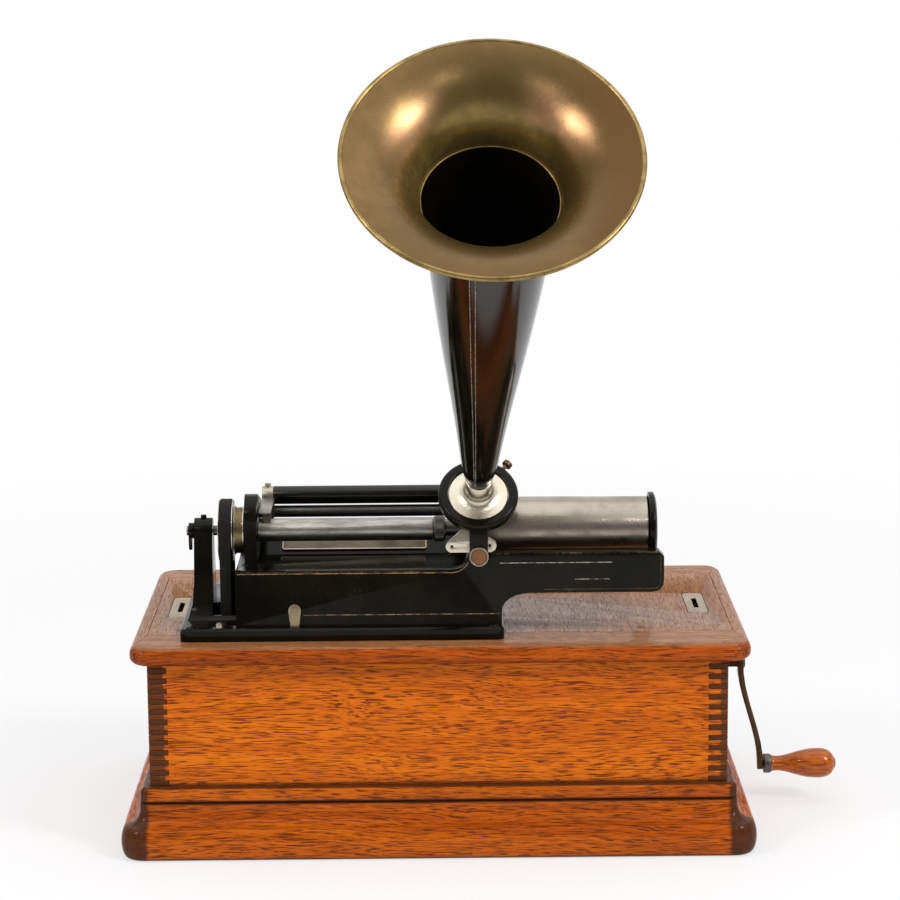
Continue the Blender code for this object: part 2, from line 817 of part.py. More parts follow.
def make_hinges():
    # Lower leaves on the back wall, with the pins; upper leaves under the deck's overhang
    knuckle = HINGE_LENGTH / 3
    line = on_line(HINGE_Y, HINGE_Z)
    back = CASE_DEPTH / 2 + GAP
    under = DECK_UNDER - GAP
    clear = HINGE_BARREL + 2 * GAP
    lowers, uppers = [], []
    for name, side in (("left", -1), ("right", 1)):
        start = side * HINGE_X - HINGE_LENGTH / 2
        end = start + HINGE_LENGTH
        first, second = start + knuckle, end - knuckle
        leaf_low = (start, back, HINGE_Z - HINGE_LEAF_DROP)
        leaf = block(leaf_low, (end, back + HINGE_LEAF_THICK, HINGE_Z))
        lower = piece("hinge_lower_" + name, leaf, NICKEL)
        cut(lower, block((first, back - OVERRUN, HINGE_Z - clear), (second, HINGE_Y, HINGE_Z + OVERRUN)))
        add(lower, rod(HINGE_PIN, start + GAP, end - GAP, SMALL_ROUND), line)
        add(lower, rod(HINGE_BARREL, start, first, SMALL_ROUND), line)
        add(lower, rod(HINGE_BARREL, second, end, SMALL_ROUND), line)
        leaf_low = (start, HINGE_Y, under - HINGE_LEAF_THICK)
        leaf = block(leaf_low, (end, HINGE_Y + HINGE_LEAF_REACH, under))
        upper = piece("hinge_upper_" + name, leaf, NICKEL)
        for low_x, high_x in ((start - OVERRUN, first + GAP), (second - GAP, end + OVERRUN)):
            low = (low_x, HINGE_Y - OVERRUN, HINGE_Z - clear)
            cut(upper, block(low, (high_x, HINGE_Y + clear, HINGE_Z + clear)))
        add(upper, rod(HINGE_BARREL, first + GAP, second - GAP, SMALL_ROUND), line)
        cut(upper, rod(HINGE_PIN + GAP, start, end, SMALL_ROUND), line)
        lowers.append(lower)
        uppers.append(upper)
    return lowers, uppers


def front_plate_outline():
    # Apron, front rail and the sweeps between them, seen from the front
    rail_right, rail_top = RAIL_RIGHT, RAIL_TOP
    step_left = APRON_RIGHT
    outline = [(APRON_LEFT, FLANGE_TOP - OVERRUN), (APRON_END, FLANGE_TOP - OVERRUN)]
    root = (APRON_END + RAIL_ROOT_WIDTH, RAIL_BOTTOM - RAIL_ROOT_HEIGHT)
    outline += arc(root, RAIL_ROOT_WIDTH, 180, 90, 6, RAIL_ROOT_HEIGHT)
    outline += arc((rail_right - RAIL_CORNER, RAIL_BOTTOM + RAIL_CORNER), RAIL_CORNER, 270, 360, 4)
    outline += [(rail_right, rail_top - RAIL_CHAMFER), (rail_right - RAIL_CHAMFER, rail_top)]
    corner = (step_left, rail_top)
    outline += arc(corner, RAIL_STEP_WIDTH, 360, 270, 5, RAIL_STEP)
    outline += [(APRON_LEFT, APRON_TOP)]
    return outline


def bed_section(shrink):
    # The bed's body from the front, over the ledge and the slope, to the back
    top = APRON_TOP - GAP
    front = APRON_FRONT + shrink
    back = BLOCK_BACK - shrink
    bottom = BED_BASE - OVERRUN if shrink else FLANGE_TOP - OVERRUN
    return [
        (front, bottom),
        (front, top - shrink),
        (LEDGE_BACK + shrink / 2, top - shrink),
        (SLOPE_BACK + shrink / 2, top + SLOPE_RISE - shrink),
        (back, top + SLOPE_RISE - shrink),
        (back, bottom),
    ]


def pedestal_loops():
    # Sections up the pedestal, whose foot flares outwards to the left and sideways
    loops = []
    extra = PEDESTAL_FOOT_HALF - PEDESTAL_WAIST_HALF
    for rise, flare, spread in zip(PEDESTAL_RISE_SHARES, PEDESTAL_FLARE_SHARES, PEDESTAL_SPREAD_SHARES):
        height = FLANGE_TOP - OVERRUN + rise * (PEDESTAL_FLARE_HEIGHT + OVERRUN)
        left = PEDESTAL_LEFT - flare * PEDESTAL_FLARE
        loops.append(pedestal_loop(left, PEDESTAL_WAIST_HALF + spread * extra, height))
    loops.append(pedestal_loop(PEDESTAL_LEFT, PEDESTAL_HEAD, SHAFT_Z))
    return loops


def pedestal_loop(left, half, height):
    return [
        (left, SHAFT_Y - half, height),
        (PEDESTAL_RIGHT, SHAFT_Y - half, height),
        (PEDESTAL_RIGHT, SHAFT_Y + half, height),
        (left, SHAFT_Y + half, height),
    ]


def make_bed():
    low, high = (BED_LEFT, BED_FRONT), (BED_RIGHT, BED_BACK)
    outline = rounded_box(low, high, FLANGE_CORNER)
    loops = []
    for shrink, height in ((0, BED_BASE), (0, FLANGE_TOP - FLANGE_EDGE), (FLANGE_EDGE, FLANGE_TOP)):
        loops.append([(x, y, height) for x, y in inset(outline, shrink)])
    bed = piece("bed_casting", loft(loops), JAPAN, smooth=35)
    add(bed, slab("X", bed_section(0), APRON_LEFT, APRON_RIGHT + RAIL_STEP_WIDTH))
    add(bed, slab("Y", front_plate_outline(), APRON_FRONT - GAP, APRON_FRONT + RAIL_THICK))
    cavity = slab("X", bed_section(APRON_WALL), APRON_LEFT + APRON_WALL, APRON_RIGHT)
    cut(bed, cavity)
    arm_low = (APRON_RIGHT, REAR_ARM_FRONT, REAR_ARM_BOTTOM)
    add(bed, block(arm_low, (REAR_ARM_RIGHT, BLOCK_BACK - GAP, REAR_ARM_TOP)))
    rod_head = arc((ROD_Y, ROD_Z), POST_RADIUS, 0, 360, 15)
    foot = [(REAR_ARM_FRONT, REAR_ARM_BOTTOM + OVERRUN), (BLOCK_BACK - OVERRUN, REAR_ARM_TOP - OVERRUN)]
    add(bed, slab("X", hull(rod_head + foot), REAR_ARM_RIGHT - POST_THICK, REAR_ARM_RIGHT - GAP))
    add(bed, loft(pedestal_loops()))
    head = rod(PEDESTAL_HEAD, PEDESTAL_LEFT, PEDESTAL_RIGHT)
    add(bed, head, on_line(SHAFT_Y, SHAFT_Z))
    cup = rod(OIL_CUP_RADIUS, SHAFT_Z, SHAFT_Z + PEDESTAL_HEAD + OIL_CUP_RISE, SMALL_ROUND)
    add(bed, cup, Matrix.Translation(((PEDESTAL_LEFT + PEDESTAL_RIGHT) / 2, SHAFT_Y, 0)))
    shaft_head = arc((SHAFT_Y, SHAFT_Z + STANDARD_HEAD_RISE), STANDARD_HEAD, 0, 360, 20)
    rod_head = arc((ROD_Y, ROD_Z), STANDARD_ROD_HEAD, 0, 360, 14)
    foot_z = APRON_TOP - OVERRUN
    foot = [(SHAFT_Y - STANDARD_HEAD, foot_z), (ROD_Y + STANDARD_ROD_HEAD, foot_z)]
    standard = slab("X", hull(shaft_head + rod_head + foot), STANDARD_LEFT, STANDARD_RIGHT)
    add(bed, standard)
    lip = [(BED_FRONT + FLANGE_EDGE, FLANGE_TOP - OVERRUN), (BED_FRONT + FLANGE_EDGE, FLANGE_TOP)]
    lip_width = BELT_OPENING_FRONT - OVERRUN - BED_FRONT - FLANGE_EDGE
    lip += arc((BED_FRONT + FLANGE_EDGE, FLANGE_TOP + BELT_LIP_RISE), lip_width, 270, 360, 4, BELT_LIP_RISE)
    lip += [(BELT_OPENING_FRONT + OVERRUN, FLANGE_TOP + BELT_LIP_RISE),
            (BELT_OPENING_FRONT + OVERRUN, FLANGE_TOP - OVERRUN)]
    add(bed, slab("X", lip, PEDESTAL_RIGHT - OVERRUN, APRON_LEFT + OVERRUN))
    cut(bed, belt_opening(BED_BASE - OVERRUN, SHAFT_Z - DRUM_RADIUS))
    shaft_line = on_line(SHAFT_Y, SHAFT_Z)
    cut(bed, rod(SHAFT_RADIUS + GAP, STANDARD_LEFT - OVERRUN, STANDARD_RIGHT + OVERRUN), shaft_line)
    pedestal_bore = (PEDESTAL_LEFT - OVERRUN, PEDESTAL_RIGHT + OVERRUN)
    cut(bed, rod(CENTRE_SCREW_RADIUS + GAP, *pedestal_bore, SMALL_ROUND), shaft_line)
    rod_line = on_line(ROD_Y, ROD_Z)
    cut(bed, rod(ROD_RADIUS + GAP, STANDARD_LEFT - OVERRUN, STANDARD_RIGHT + OVERRUN, SMALL_ROUND), rod_line)
    post_bore = (REAR_ARM_RIGHT - POST_THICK - OVERRUN, REAR_ARM_RIGHT - OVERRUN)
    cut(bed, rod(ROD_RADIUS + GAP, *post_bore, SMALL_ROUND), rod_line)
    for spot in screw_spots():
        hole = rod(SCREW_SHANK + GAP, BED_BASE - OVERRUN, FLANGE_TOP + OVERRUN, SMALL_ROUND)
        cut(bed, hole, Matrix.Translation((*spot, 0)))
    slot_low = (LEVER_X - LEVER_TRAVEL - LEVER_STEM - GAP, LEVER_Y - LEVER_THICK / 2 - GAP)
    slot_high = (LEVER_X + LEVER_STEM + GAP, LEVER_Y + LEVER_THICK / 2 + GAP)
    cut(bed, block((*slot_low, FLANGE_TOP - LEVER_SLOT_DEPTH), (*slot_high, FLANGE_TOP + OVERRUN)))
    bore = rod(SPEED_SCREW_RADIUS + GAP, -SPEED_SCREW_DEPTH - GAP, OVERRUN, SMALL_ROUND)
    cut(bed, bore, Matrix.Translation(speed_screw_spot()))
    half = SPEED_SCREW_HEAD / math.sqrt(2) + GAP
    seat = block((-half, -half - OVERRUN, 0), (half, half, SPEED_SCREW_RISE + OVERRUN))
    cut(bed, seat, Matrix.Translation(speed_screw_spot()))
    socket_top = REAR_ARM_BOTTOM + GATE_PIN_DEPTH
    socket = rod(GATE_PIN_RADIUS + GAP, REAR_ARM_BOTTOM - OVERRUN, socket_top, SMALL_ROUND)
    cut(bed, socket, Matrix.Translation((GATE_X, GATE_Y, 0)))
    return bed


def speed_screw_spot():
    return (SPEED_SCREW_X, BED_FRONT + FLANGE_EDGE + SPEED_SCREW_HEAD / 2, FLANGE_TOP)


def make_blank_plate():
    slope = math.atan2(SLOPE_RISE, SLOPE_BACK - LEDGE_BACK)
    middle_y = (LEDGE_BACK + SLOPE_BACK) / 2
    middle_z = APRON_TOP - GAP + SLOPE_RISE / 2
    half = PLATE_HEIGHT / 2
    outline = rounded_box((PLATE_LEFT, -half), (PLATE_RIGHT, half), PLATE_THICK, 1)
    plate = slab("Z", outline, GAP, PLATE_THICK)
    place = Matrix.Translation((0, middle_y, middle_z)) @ Matrix.Rotation(slope, 4, "X")
    return piece("blank_plate", plate, NICKEL, place)


def make_speed_screw():
    half = SPEED_SCREW_HEAD / 2
    head = block((-half, -half, GAP), (half, half, SPEED_SCREW_RISE))
    screw = piece("speed_screw", head, NICKEL, Matrix.Translation(speed_screw_spot()))
    shank = rod(SPEED_SCREW_RADIUS, -SPEED_SCREW_DEPTH, half, SMALL_ROUND)
    add(screw, shank, Matrix.Translation(speed_screw_spot()))
    return screw


def make_start_lever():
    # A teardrop tab that stands in its slot
    head = arc((LEVER_X, FLANGE_TOP + LEVER_TOP - LEVER_HEAD), LEVER_HEAD, 0, 180, 8)
    bottom = FLANGE_TOP - LEVER_SLOT_DEPTH + GAP
    left, right = LEVER_X - LEVER_STEM, LEVER_X + LEVER_STEM
    outline = head + [(left, FLANGE_TOP + GAP), (left, bottom), (right, bottom), (right, FLANGE_TOP + GAP)]
    low = LEVER_Y - LEVER_THICK / 2
    return piece("start_lever", slab("Y", outline, low, low + LEVER_THICK), BRASS)


def make_centre_screw():
    head = CENTRE_SCREW_LEFT
    neck = head + CENTRE_SCREW_HEAD_THICK
    tip = SHAFT_LEFT - GAP
    point = tip - CENTRE_SCREW_RADIUS
    profile = [(0, head), (CENTRE_SCREW_HEAD, head), (CENTRE_SCREW_HEAD, neck), (CENTRE_SCREW_RADIUS, neck),
               (CENTRE_SCREW_RADIUS, point), (CENTRE_SCREW_RADIUS / 3, tip), (0, tip)]
    line = on_line(SHAFT_Y, SHAFT_Z)
    screw = piece("centre_screw", turned(profile, SMALL_ROUND), STEEL, line)
    right = PEDESTAL_LEFT - GAP
    left = right - WING_NUT_THICK
    nut = piece("wing_nut", rod(WING_NUT_RADIUS, left, right, SMALL_ROUND), JAPAN, line)
    tip_centre = (WING_WIDTH / 2 - WING_REACH, 0)
    wing = hull(arc(tip_centre, WING_WIDTH / 2, 0, 360, 12) + arc((0, 0), WING_WIDTH / 2, 0, 360, 12))
    leaf = slab("X", [(v, u) for u, v in wing], left, left + WING_THICK)
    add(nut, shifted(leaf, SHAFT_Y, SHAFT_Z))
    cut(nut, rod(CENTRE_SCREW_RADIUS + GAP, left - OVERRUN, right + OVERRUN, SMALL_ROUND), line)
    return screw, nut


def make_shaft_line():
    line = on_line(SHAFT_Y, SHAFT_Z)
    shoulder = WHEEL_LEFT - GAP
    bore = SHAFT_RADIUS + GAP
    profile = [(0, SHAFT_LEFT), (SHAFT_NECK_RADIUS, SHAFT_LEFT), (SHAFT_NECK_RADIUS, shoulder),
               (SHAFT_RADIUS, shoulder), (SHAFT_RADIUS, SHAFT_RIGHT), (0, SHAFT_RIGHT)]
    pieces = [piece("main_shaft", turned(profile), STEEL, line)]
    left, right = WHEEL_LEFT, WHEEL_LEFT + WHEEL_WIDTH
    seat = WHEEL_RADIUS - BELT_SEAT_DEPTH
    profile = [(bore, left), (WHEEL_RADIUS, left), (WHEEL_RADIUS, left + WHEEL_FLANGE),
               (seat, left + WHEEL_FLANGE), (seat, right - WHEEL_FLANGE),
               (WHEEL_RADIUS, right - WHEEL_FLANGE), (WHEEL_RADIUS, right), (bore, right)]
    pieces.append(piece("belt_wheel", turned(profile, ROUND, ring=True), JAPAN, line))
    left, right = DRUM_LEFT, DRUM_LEFT + DRUM_WIDTH
    profile = [(bore, left), (DRUM_RADIUS, left), (DRUM_RADIUS, left + DRUM_FLANGE),
               (DRUM_WAIST, left + DRUM_FLANGE), (DRUM_WAIST, right - DRUM_FLANGE),
               (DRUM_RADIUS, right - DRUM_FLANGE), (DRUM_RADIUS, right), (bore, right)]
    pieces.append(piece("brass_drum", turned(profile, ROUND, ring=True), BRASS, line))
    pieces.append(piece("feed_screw", sleeve(bore, FEED_RADIUS, FEED_LEFT, FEED_RIGHT), STEEL, line))
    pieces.append(make_collar(bore, line))
    wall_left, wall_right = MANDREL_RADIUS - MANDREL_WALL, MANDREL_END_RADIUS - MANDREL_WALL
    web = MANDREL_LEFT + MANDREL_WEB
    tube_end = MANDREL_RIGHT - MANDREL_RECESS
    profile = [(bore, MANDREL_LEFT), (MANDREL_RADIUS, MANDREL_LEFT), (MANDREL_END_RADIUS, MANDREL_RIGHT),
               (wall_right, MANDREL_RIGHT), (wall_left, web), (MANDREL_TUBE, web), (MANDREL_TUBE, tube_end),
               (bore, tube_end)]
    pieces.append(piece("mandrel", turned(profile, FINE_ROUND, ring=True), NICKEL, line))
    return pieces


def make_collar(bore, line):
    # A collar with a coarse knurl of flutes round it
    left = FEED_RIGHT + GAP
    outline = []
    for index in range(2 * COLLAR_NOTCHES):
        radius = COLLAR_RADIUS if index % 2 else COLLAR_RADIUS - GAP
        turn = math.tau * index / (2 * COLLAR_NOTCHES)
        outline.append((radius * math.cos(turn), radius * math.sin(turn)))
    inner = [(x * bore / COLLAR_RADIUS, y * bore / COLLAR_RADIUS) for x, y in
             arc((0, 0), COLLAR_RADIUS, 0, 360, 2 * COLLAR_NOTCHES)[:-1]]
    levels = ((outline, left), (outline, left + COLLAR_WIDTH), (inner, left + COLLAR_WIDTH), (inner, left))
    loops = [[(x, y, height) for x, y in points] for points, height in levels]
    return piece("screw_collar", loft(loops, closed=True), JAPAN, line)


def make_belt():
    # A flat loop round the belt wheel and the motor's pulley
    _, _, pulley_y, pulley_z = motor_places()
    left = WHEEL_LEFT + WHEEL_FLANGE + BELT_SIDE_GAP
    right = WHEEL_LEFT + WHEEL_WIDTH - WHEEL_FLANGE - BELT_SIDE_GAP
    seats = []
    for extra in (GAP, GAP + BELT_THICK):
        wheel = WHEEL_RADIUS - BELT_SEAT_DEPTH + extra
        pulley = PULLEY_RADIUS - BELT_SEAT_DEPTH + extra
        reach = SHAFT_Z - pulley_z
        lean = math.degrees(math.asin((wheel - pulley) / reach))
        upper = arc((SHAFT_Y, SHAFT_Z), wheel, -lean, 180 + lean, 14)
        lower = arc((pulley_y, pulley_z), pulley, 180 + lean, 360 - lean, 12)
        seats.append(upper + lower)
    loops = [[(x, y, z) for y, z in seat] for seat, x in
             ((seats[0], left), (seats[1], left), (seats[1], right), (seats[0], right))]
    return piece("drive_belt", loft(loops, closed=True), LEATHER)


def carriage_section(radius_rod, radius_tube):
    tube = arc((ROD_Y, ROD_Z + TUBE_RISE), radius_tube, 0, 360, 14)
    return hull(tube + arc((ROD_Y, ROD_Z), radius_rod, 0, 360, 14))


def make_carriage():
    pieces = []
    rod_line = on_line(ROD_Y, ROD_Z)
    tube_line = on_line(ROD_Y, ROD_Z + TUBE_RISE)
    tube_right = CARRIAGE_X + HUB_HALF - TUBE_SEAT
    pieces.append(piece("carriage_tube", rod(TUBE_RADIUS, TUBE_LEFT, tube_right), JAPAN, tube_line))
    left, right = BRACKET_LEFT, BRACKET_LEFT + BRACKET_WIDTH
    section = carriage_section(ROD_RADIUS + BRACKET_WALL, TUBE_RADIUS)
    bracket = piece("tube_bracket", slab("X", section, left, TUBE_LEFT - GAP), NICKEL)
    add(bracket, rod(ROD_RADIUS + BRACKET_WALL, left, right, SMALL_ROUND), rod_line)
    top = ROD_Z + TUBE_RISE + TUBE_RADIUS + BRACKET_SCREW_RISE
    screw = rod(BRACKET_SCREW_RADIUS, ROD_Z + TUBE_RISE, top, SMALL_ROUND)
    add(bracket, screw, Matrix.Translation(((left + TUBE_LEFT) / 2, ROD_Y, 0)))
    cut(bracket, rod(ROD_RADIUS + GAP, left - OVERRUN, right + OVERRUN, SMALL_ROUND), rod_line)
    pieces.append(bracket)
    pieces += make_feed_nut(left)
    return pieces


def make_feed_nut(bracket_left):
    # A sprung arm from the bracket carries half a nut on the feed screw
    nut_bottom = SHAFT_Z + GAP
    nut_top = SHAFT_Z + FEED_RADIUS + NUT_THICK
    half = NUT_HALF
    outline = [(SHAFT_Y - half, nut_bottom), (SHAFT_Y + half, nut_bottom), (SHAFT_Y + half, nut_top),
               (SHAFT_Y - half, nut_top)]
    nut = piece("feed_nut", slab("X", outline, NUT_LEFT, NUT_LEFT + NUT_WIDTH), BRASS)
    line = on_line(SHAFT_Y, SHAFT_Z)
    cut(nut, rod(FEED_RADIUS + GAP, NUT_LEFT - OVERRUN, NUT_LEFT + NUT_WIDTH + OVERRUN), line)
    arm_bottom = nut_top + GAP
    rise = arm_bottom + NUT_ARM_THICK
    reach = ROD_Y - ROD_RADIUS - BRACKET_WALL - GAP
    drop = ROD_Z - BRACKET_WALL
    strip = [(SHAFT_Y - half, arm_bottom), (reach - NUT_ARM_THICK, arm_bottom),
             (reach - NUT_ARM_THICK, drop), (reach, drop), (reach, rise), (SHAFT_Y - half, rise)]
    arm = piece("feed_nut_arm", slab("X", strip, bracket_left, NUT_LEFT + NUT_WIDTH), STEEL)
    return [nut, arm]


def ring_place():
    # Its columns run sideways, up the ring and out along the horn
    tilt, lean = math.radians(RING_TILT), math.radians(HORN_LEAN)
    ahead = Vector((0, -math.cos(tilt), math.sin(tilt)))
    up = Vector((0, math.sin(tilt), math.cos(tilt)))
    out = ahead * math.cos(lean) + Vector((math.sin(lean), 0, 0))
    turn = Matrix((up.cross(out), up, out)).transposed().to_4x4()
    centre = Vector((CARRIAGE_X, SHAFT_Y, SHAFT_Z)) + ahead * RING_STANDOFF
    return Matrix.Translation(centre) @ turn


def make_speaker_arm():
    centre = ring_place().translation
    front, back = RING_FRONT, RING_BACK
    profile = [(0, back), (RING_RADIUS, back), (RING_RADIUS, front - RING_EDGE),
               (RING_RADIUS - RING_EDGE, front), (0, front)]
    arm = piece("speaker_arm", turned(profile, FINE_ROUND), JAPAN, ring_place())
    low, high = CARRIAGE_X - ARM_WIDTH / 2, CARRIAGE_X + ARM_WIDTH / 2
    hub = carriage_section(ROD_RADIUS + HUB_WALL, TUBE_RADIUS + HUB_WALL)
    add(arm, slab("X", hub, CARRIAGE_X - HUB_HALF, CARRIAGE_X + HUB_HALF))
    line = (SHAFT_Y, SHAFT_Z)
    arch = arc(line, ARCH_OUTER, ARCH_START_TURN, ARCH_END_TURN, 7)
    arch += arc(line, ARCH_INNER, ARCH_END_TURN, ARCH_START_TURN, 7)
    add(arm, slab("X", arch, low, high))
    ring_bottom = centre.z - RING_RADIUS * math.cos(math.radians(RING_TILT))
    leg_bottom = RAIL_TOP - LEG_LIP_DROP
    leg = [(LEG_FRONT, leg_bottom), (LEG_BACK, leg_bottom), (LEG_BACK, ring_bottom + RING_EDGE),
           (LEG_FRONT, ring_bottom + 3 * RING_EDGE)]
    add(arm, slab("X", leg, low, high))
    seat_low = BODY_BACK - WEIGHT_THICK - STYLUS_DROP - OVERRUN
    cut(arm, rod(RING_SEAT, seat_low, BODY_FRONT + GAP, FINE_ROUND), ring_place())
    cut(arm, rod(RING_BORE, 0, 2 * RING_FRONT, FINE_ROUND), ring_place())
    span = (CARRIAGE_X - HUB_HALF - OVERRUN, CARRIAGE_X + HUB_HALF + OVERRUN)
    cut(arm, rod(ROD_RADIUS + GAP, *span, SMALL_ROUND), on_line(ROD_Y, ROD_Z))
    tube_span = (span[0], CARRIAGE_X + HUB_HALF - TUBE_SEAT + GAP)
    cut(arm, rod(TUBE_RADIUS + GAP, *tube_span), on_line(ROD_Y, ROD_Z + TUBE_RISE))
    spindle = rod(KNOB_SPINDLE + GAP, LEG_FRONT - OVERRUN, APRON_FRONT, SMALL_ROUND)
    cut(arm, spindle, toward((0, 1, 0), (CARRIAGE_X, 0, knob_height())))
    screw = rod(THUMB_SHANK + GAP, RING_BORE - OVERRUN, RING_RADIUS + OVERRUN, SMALL_ROUND)
    cut(arm, screw, thumb_place())
    return arm


def knob_height():
    return RAIL_TOP - GAP


def thumb_place():
    turn = Matrix.Rotation(math.radians(90 - THUMB_TURN), 4, "Z")
    lay = Matrix.Rotation(math.radians(-90), 4, "X")
    middle = Matrix.Translation((0, 0, (RING_FRONT + RING_BACK) / 2))
    return ring_place() @ middle @ turn.inverted() @ lay


def make_arm_fittings():
    knob_profile = [(0, LEG_FRONT - GAP - KNOB_THICK), (KNOB_RADIUS - KNOB_RIM, LEG_FRONT - GAP - KNOB_THICK),
                    (KNOB_RADIUS, LEG_FRONT - GAP - KNOB_THICK + KNOB_RIM), (KNOB_RADIUS, LEG_FRONT - GAP),
                    (KNOB_SPINDLE, LEG_FRONT - GAP), (KNOB_SPINDLE, APRON_FRONT - 4 * GAP),
                    (0, APRON_FRONT - 4 * GAP)]
    place = toward((0, 1, 0), (CARRIAGE_X, 0, knob_height()))
    knob = piece("arm_knob", turned(knob_profile), COPPER, place)
    head = RING_RADIUS + THUMB_LENGTH - THUMB_HEAD_THICK
    end = RING_RADIUS + THUMB_LENGTH
    profile = [(0, RING_SEAT + GAP), (THUMB_SHANK, RING_SEAT + GAP), (THUMB_SHANK, head), (THUMB_HEAD, head),
               (THUMB_HEAD, end), (0, end)]
    thumb = piece("ring_thumb_screw", turned(profile, SMALL_ROUND), COPPER, thumb_place())
    low = RAIL_TOP + GUIDE_RAIL_GAP
    left = (CARRIAGE_X - GUIDE_LEFT_REACH, low + GUIDE_LEFT_LOBE)
    right = (CARRIAGE_X + GUIDE_RIGHT_REACH, low + GUIDE_RIGHT_LOBE)
    lobes = arc(left, GUIDE_LEFT_LOBE, 0, 360, 14) + arc(right, GUIDE_RIGHT_LOBE, 0, 360, 10)
    crown = [(CARRIAGE_X - GUIDE_CROWN_LEFT, low + GUIDE_CROWN_HEIGHT), (CARRIAGE_X, low + GUIDE_HEIGHT)]
    back = LEG_BACK + GAP
    plate = piece("guide_plate", slab("Y", hull(lobes + crown), back, back + GUIDE_THICK), NICKEL)
    for spot in (left, right):
        hole = rod(GUIDE_HOLE, back - OVERRUN, back + GUIDE_THICK + OVERRUN, SMALL_ROUND)
        cut(plate, hole, toward((0, 1, 0), (spot[0], 0, spot[1])))
    return knob, thumb, plate


def make_reproducer():
    place = ring_place()
    outer = RING_SEAT - GAP
    inner = outer - BODY_WALL
    lip = inner - BODY_LIP
    lip_top = BODY_BACK + BODY_LIP
    profile = [(lip, BODY_BACK), (outer, BODY_BACK), (outer, BODY_FRONT), (inner, BODY_FRONT),
               (inner, lip_top), (lip, lip_top)]
    body = piece("reproducer_body", turned(profile, FINE_ROUND, ring=True), NICKEL, place)
    low = lip_top + GAP
    disc = piece("diaphragm", rod(inner - GAP, low, low + DIAPHRAGM_THICK, FINE_ROUND), MICA, place)
    back = BODY_FRONT + GAP
    rim_top = back + DISH_RIM_THICK
    flare_width = DISH_RADIUS - DISH_NECK_RADIUS
    flare_height = DISH_FLARE_TOP - rim_top
    flare = arc((DISH_RADIUS, rim_top + flare_height), flare_width, 270, 180, 3, flare_height)
    wall = DISH_NECK_RADIUS - DISH_BORE
    under = [(radius - wall, height - wall) for radius, height in reversed(flare[1:-1])]
    neck = [(DISH_NECK_RADIUS, DISH_NECK_TOP), (DISH_BORE, DISH_NECK_TOP), (DISH_BORE, DISH_FLARE_TOP - wall)]
    profile = [(DISH_RADIUS, back)] + flare + neck + under + [(DISH_BORE + flare_width / 2, back)]
    dish = piece("reproducer_dish", turned(profile, FINE_ROUND, ring=True), NICKEL, place, smooth=50)
    return body, disc, dish


def make_stylus_weight():
    # A hinged weight under the body, tipped by the stylus
    place = ring_place()
    top = BODY_BACK - GAP
    bottom = top - WEIGHT_THICK
    tail = [(WEIGHT_TAIL_HALF, WEIGHT_TAIL), (-WEIGHT_TAIL_HALF, WEIGHT_TAIL)]
    outline = hull(arc((0, 0), WEIGHT_RADIUS, 0, 360, 20) + tail)
    weight = piece("stylus_weight", slab("Z", outline, bottom, top), NICKEL, place)
    tip = rod(STYLUS_RADIUS, bottom - STYLUS_DROP, top - GAP, SMALL_ROUND)
    add(weight, tip, place)
    return weight


def make_horn():
    place = ring_place()
    end = CONE_START + CONE_LENGTH
    outer = []
    for along, swell in zip(CONE_ALONG_SHARES, CONE_SWELL_SHARES):
        radius = CONE_SMALL_RADIUS + (CONE_LARGE_RADIUS - CONE_SMALL_RADIUS) * swell
        outer.append((radius, CONE_START + CONE_LENGTH * along))
    inner = [(radius - CONE_WALL, height) for radius, height in reversed(outer)]
    cone = piece("horn_cone", turned(outer + inner, FINE_ROUND, ring=True), JAPAN, place)
    neck = CONE_LARGE_RADIUS + GAP
    flare = [(neck, end - BELL_SLEEVE), (neck, end + GAP)]
    last = math.radians(BELL_TURN)
    for step in range(1, BELL_STEPS + 1):
        turn = last * step / BELL_STEPS
        height = end + BELL_DEPTH * math.sin(turn) / math.sin(last)
        radius = neck + (BELL_RADIUS - neck) * (1 - math.cos(turn)) / (1 - math.cos(last))
        flare.append((radius, height))
    outside = path_offset(flare, -BELL_WALL)
    rim = flare[-1]
    bead = arc((rim[0], rim[1] - BELL_BEAD + BELL_WALL / 2), BELL_BEAD, 90, -150, 3)
    profile = flare[:-1] + bead + outside[:-1][::-1]
    bell = piece("horn_bell", turned(profile, FINE_ROUND, ring=True), BRASS, place, smooth=50)
    return cone, bell


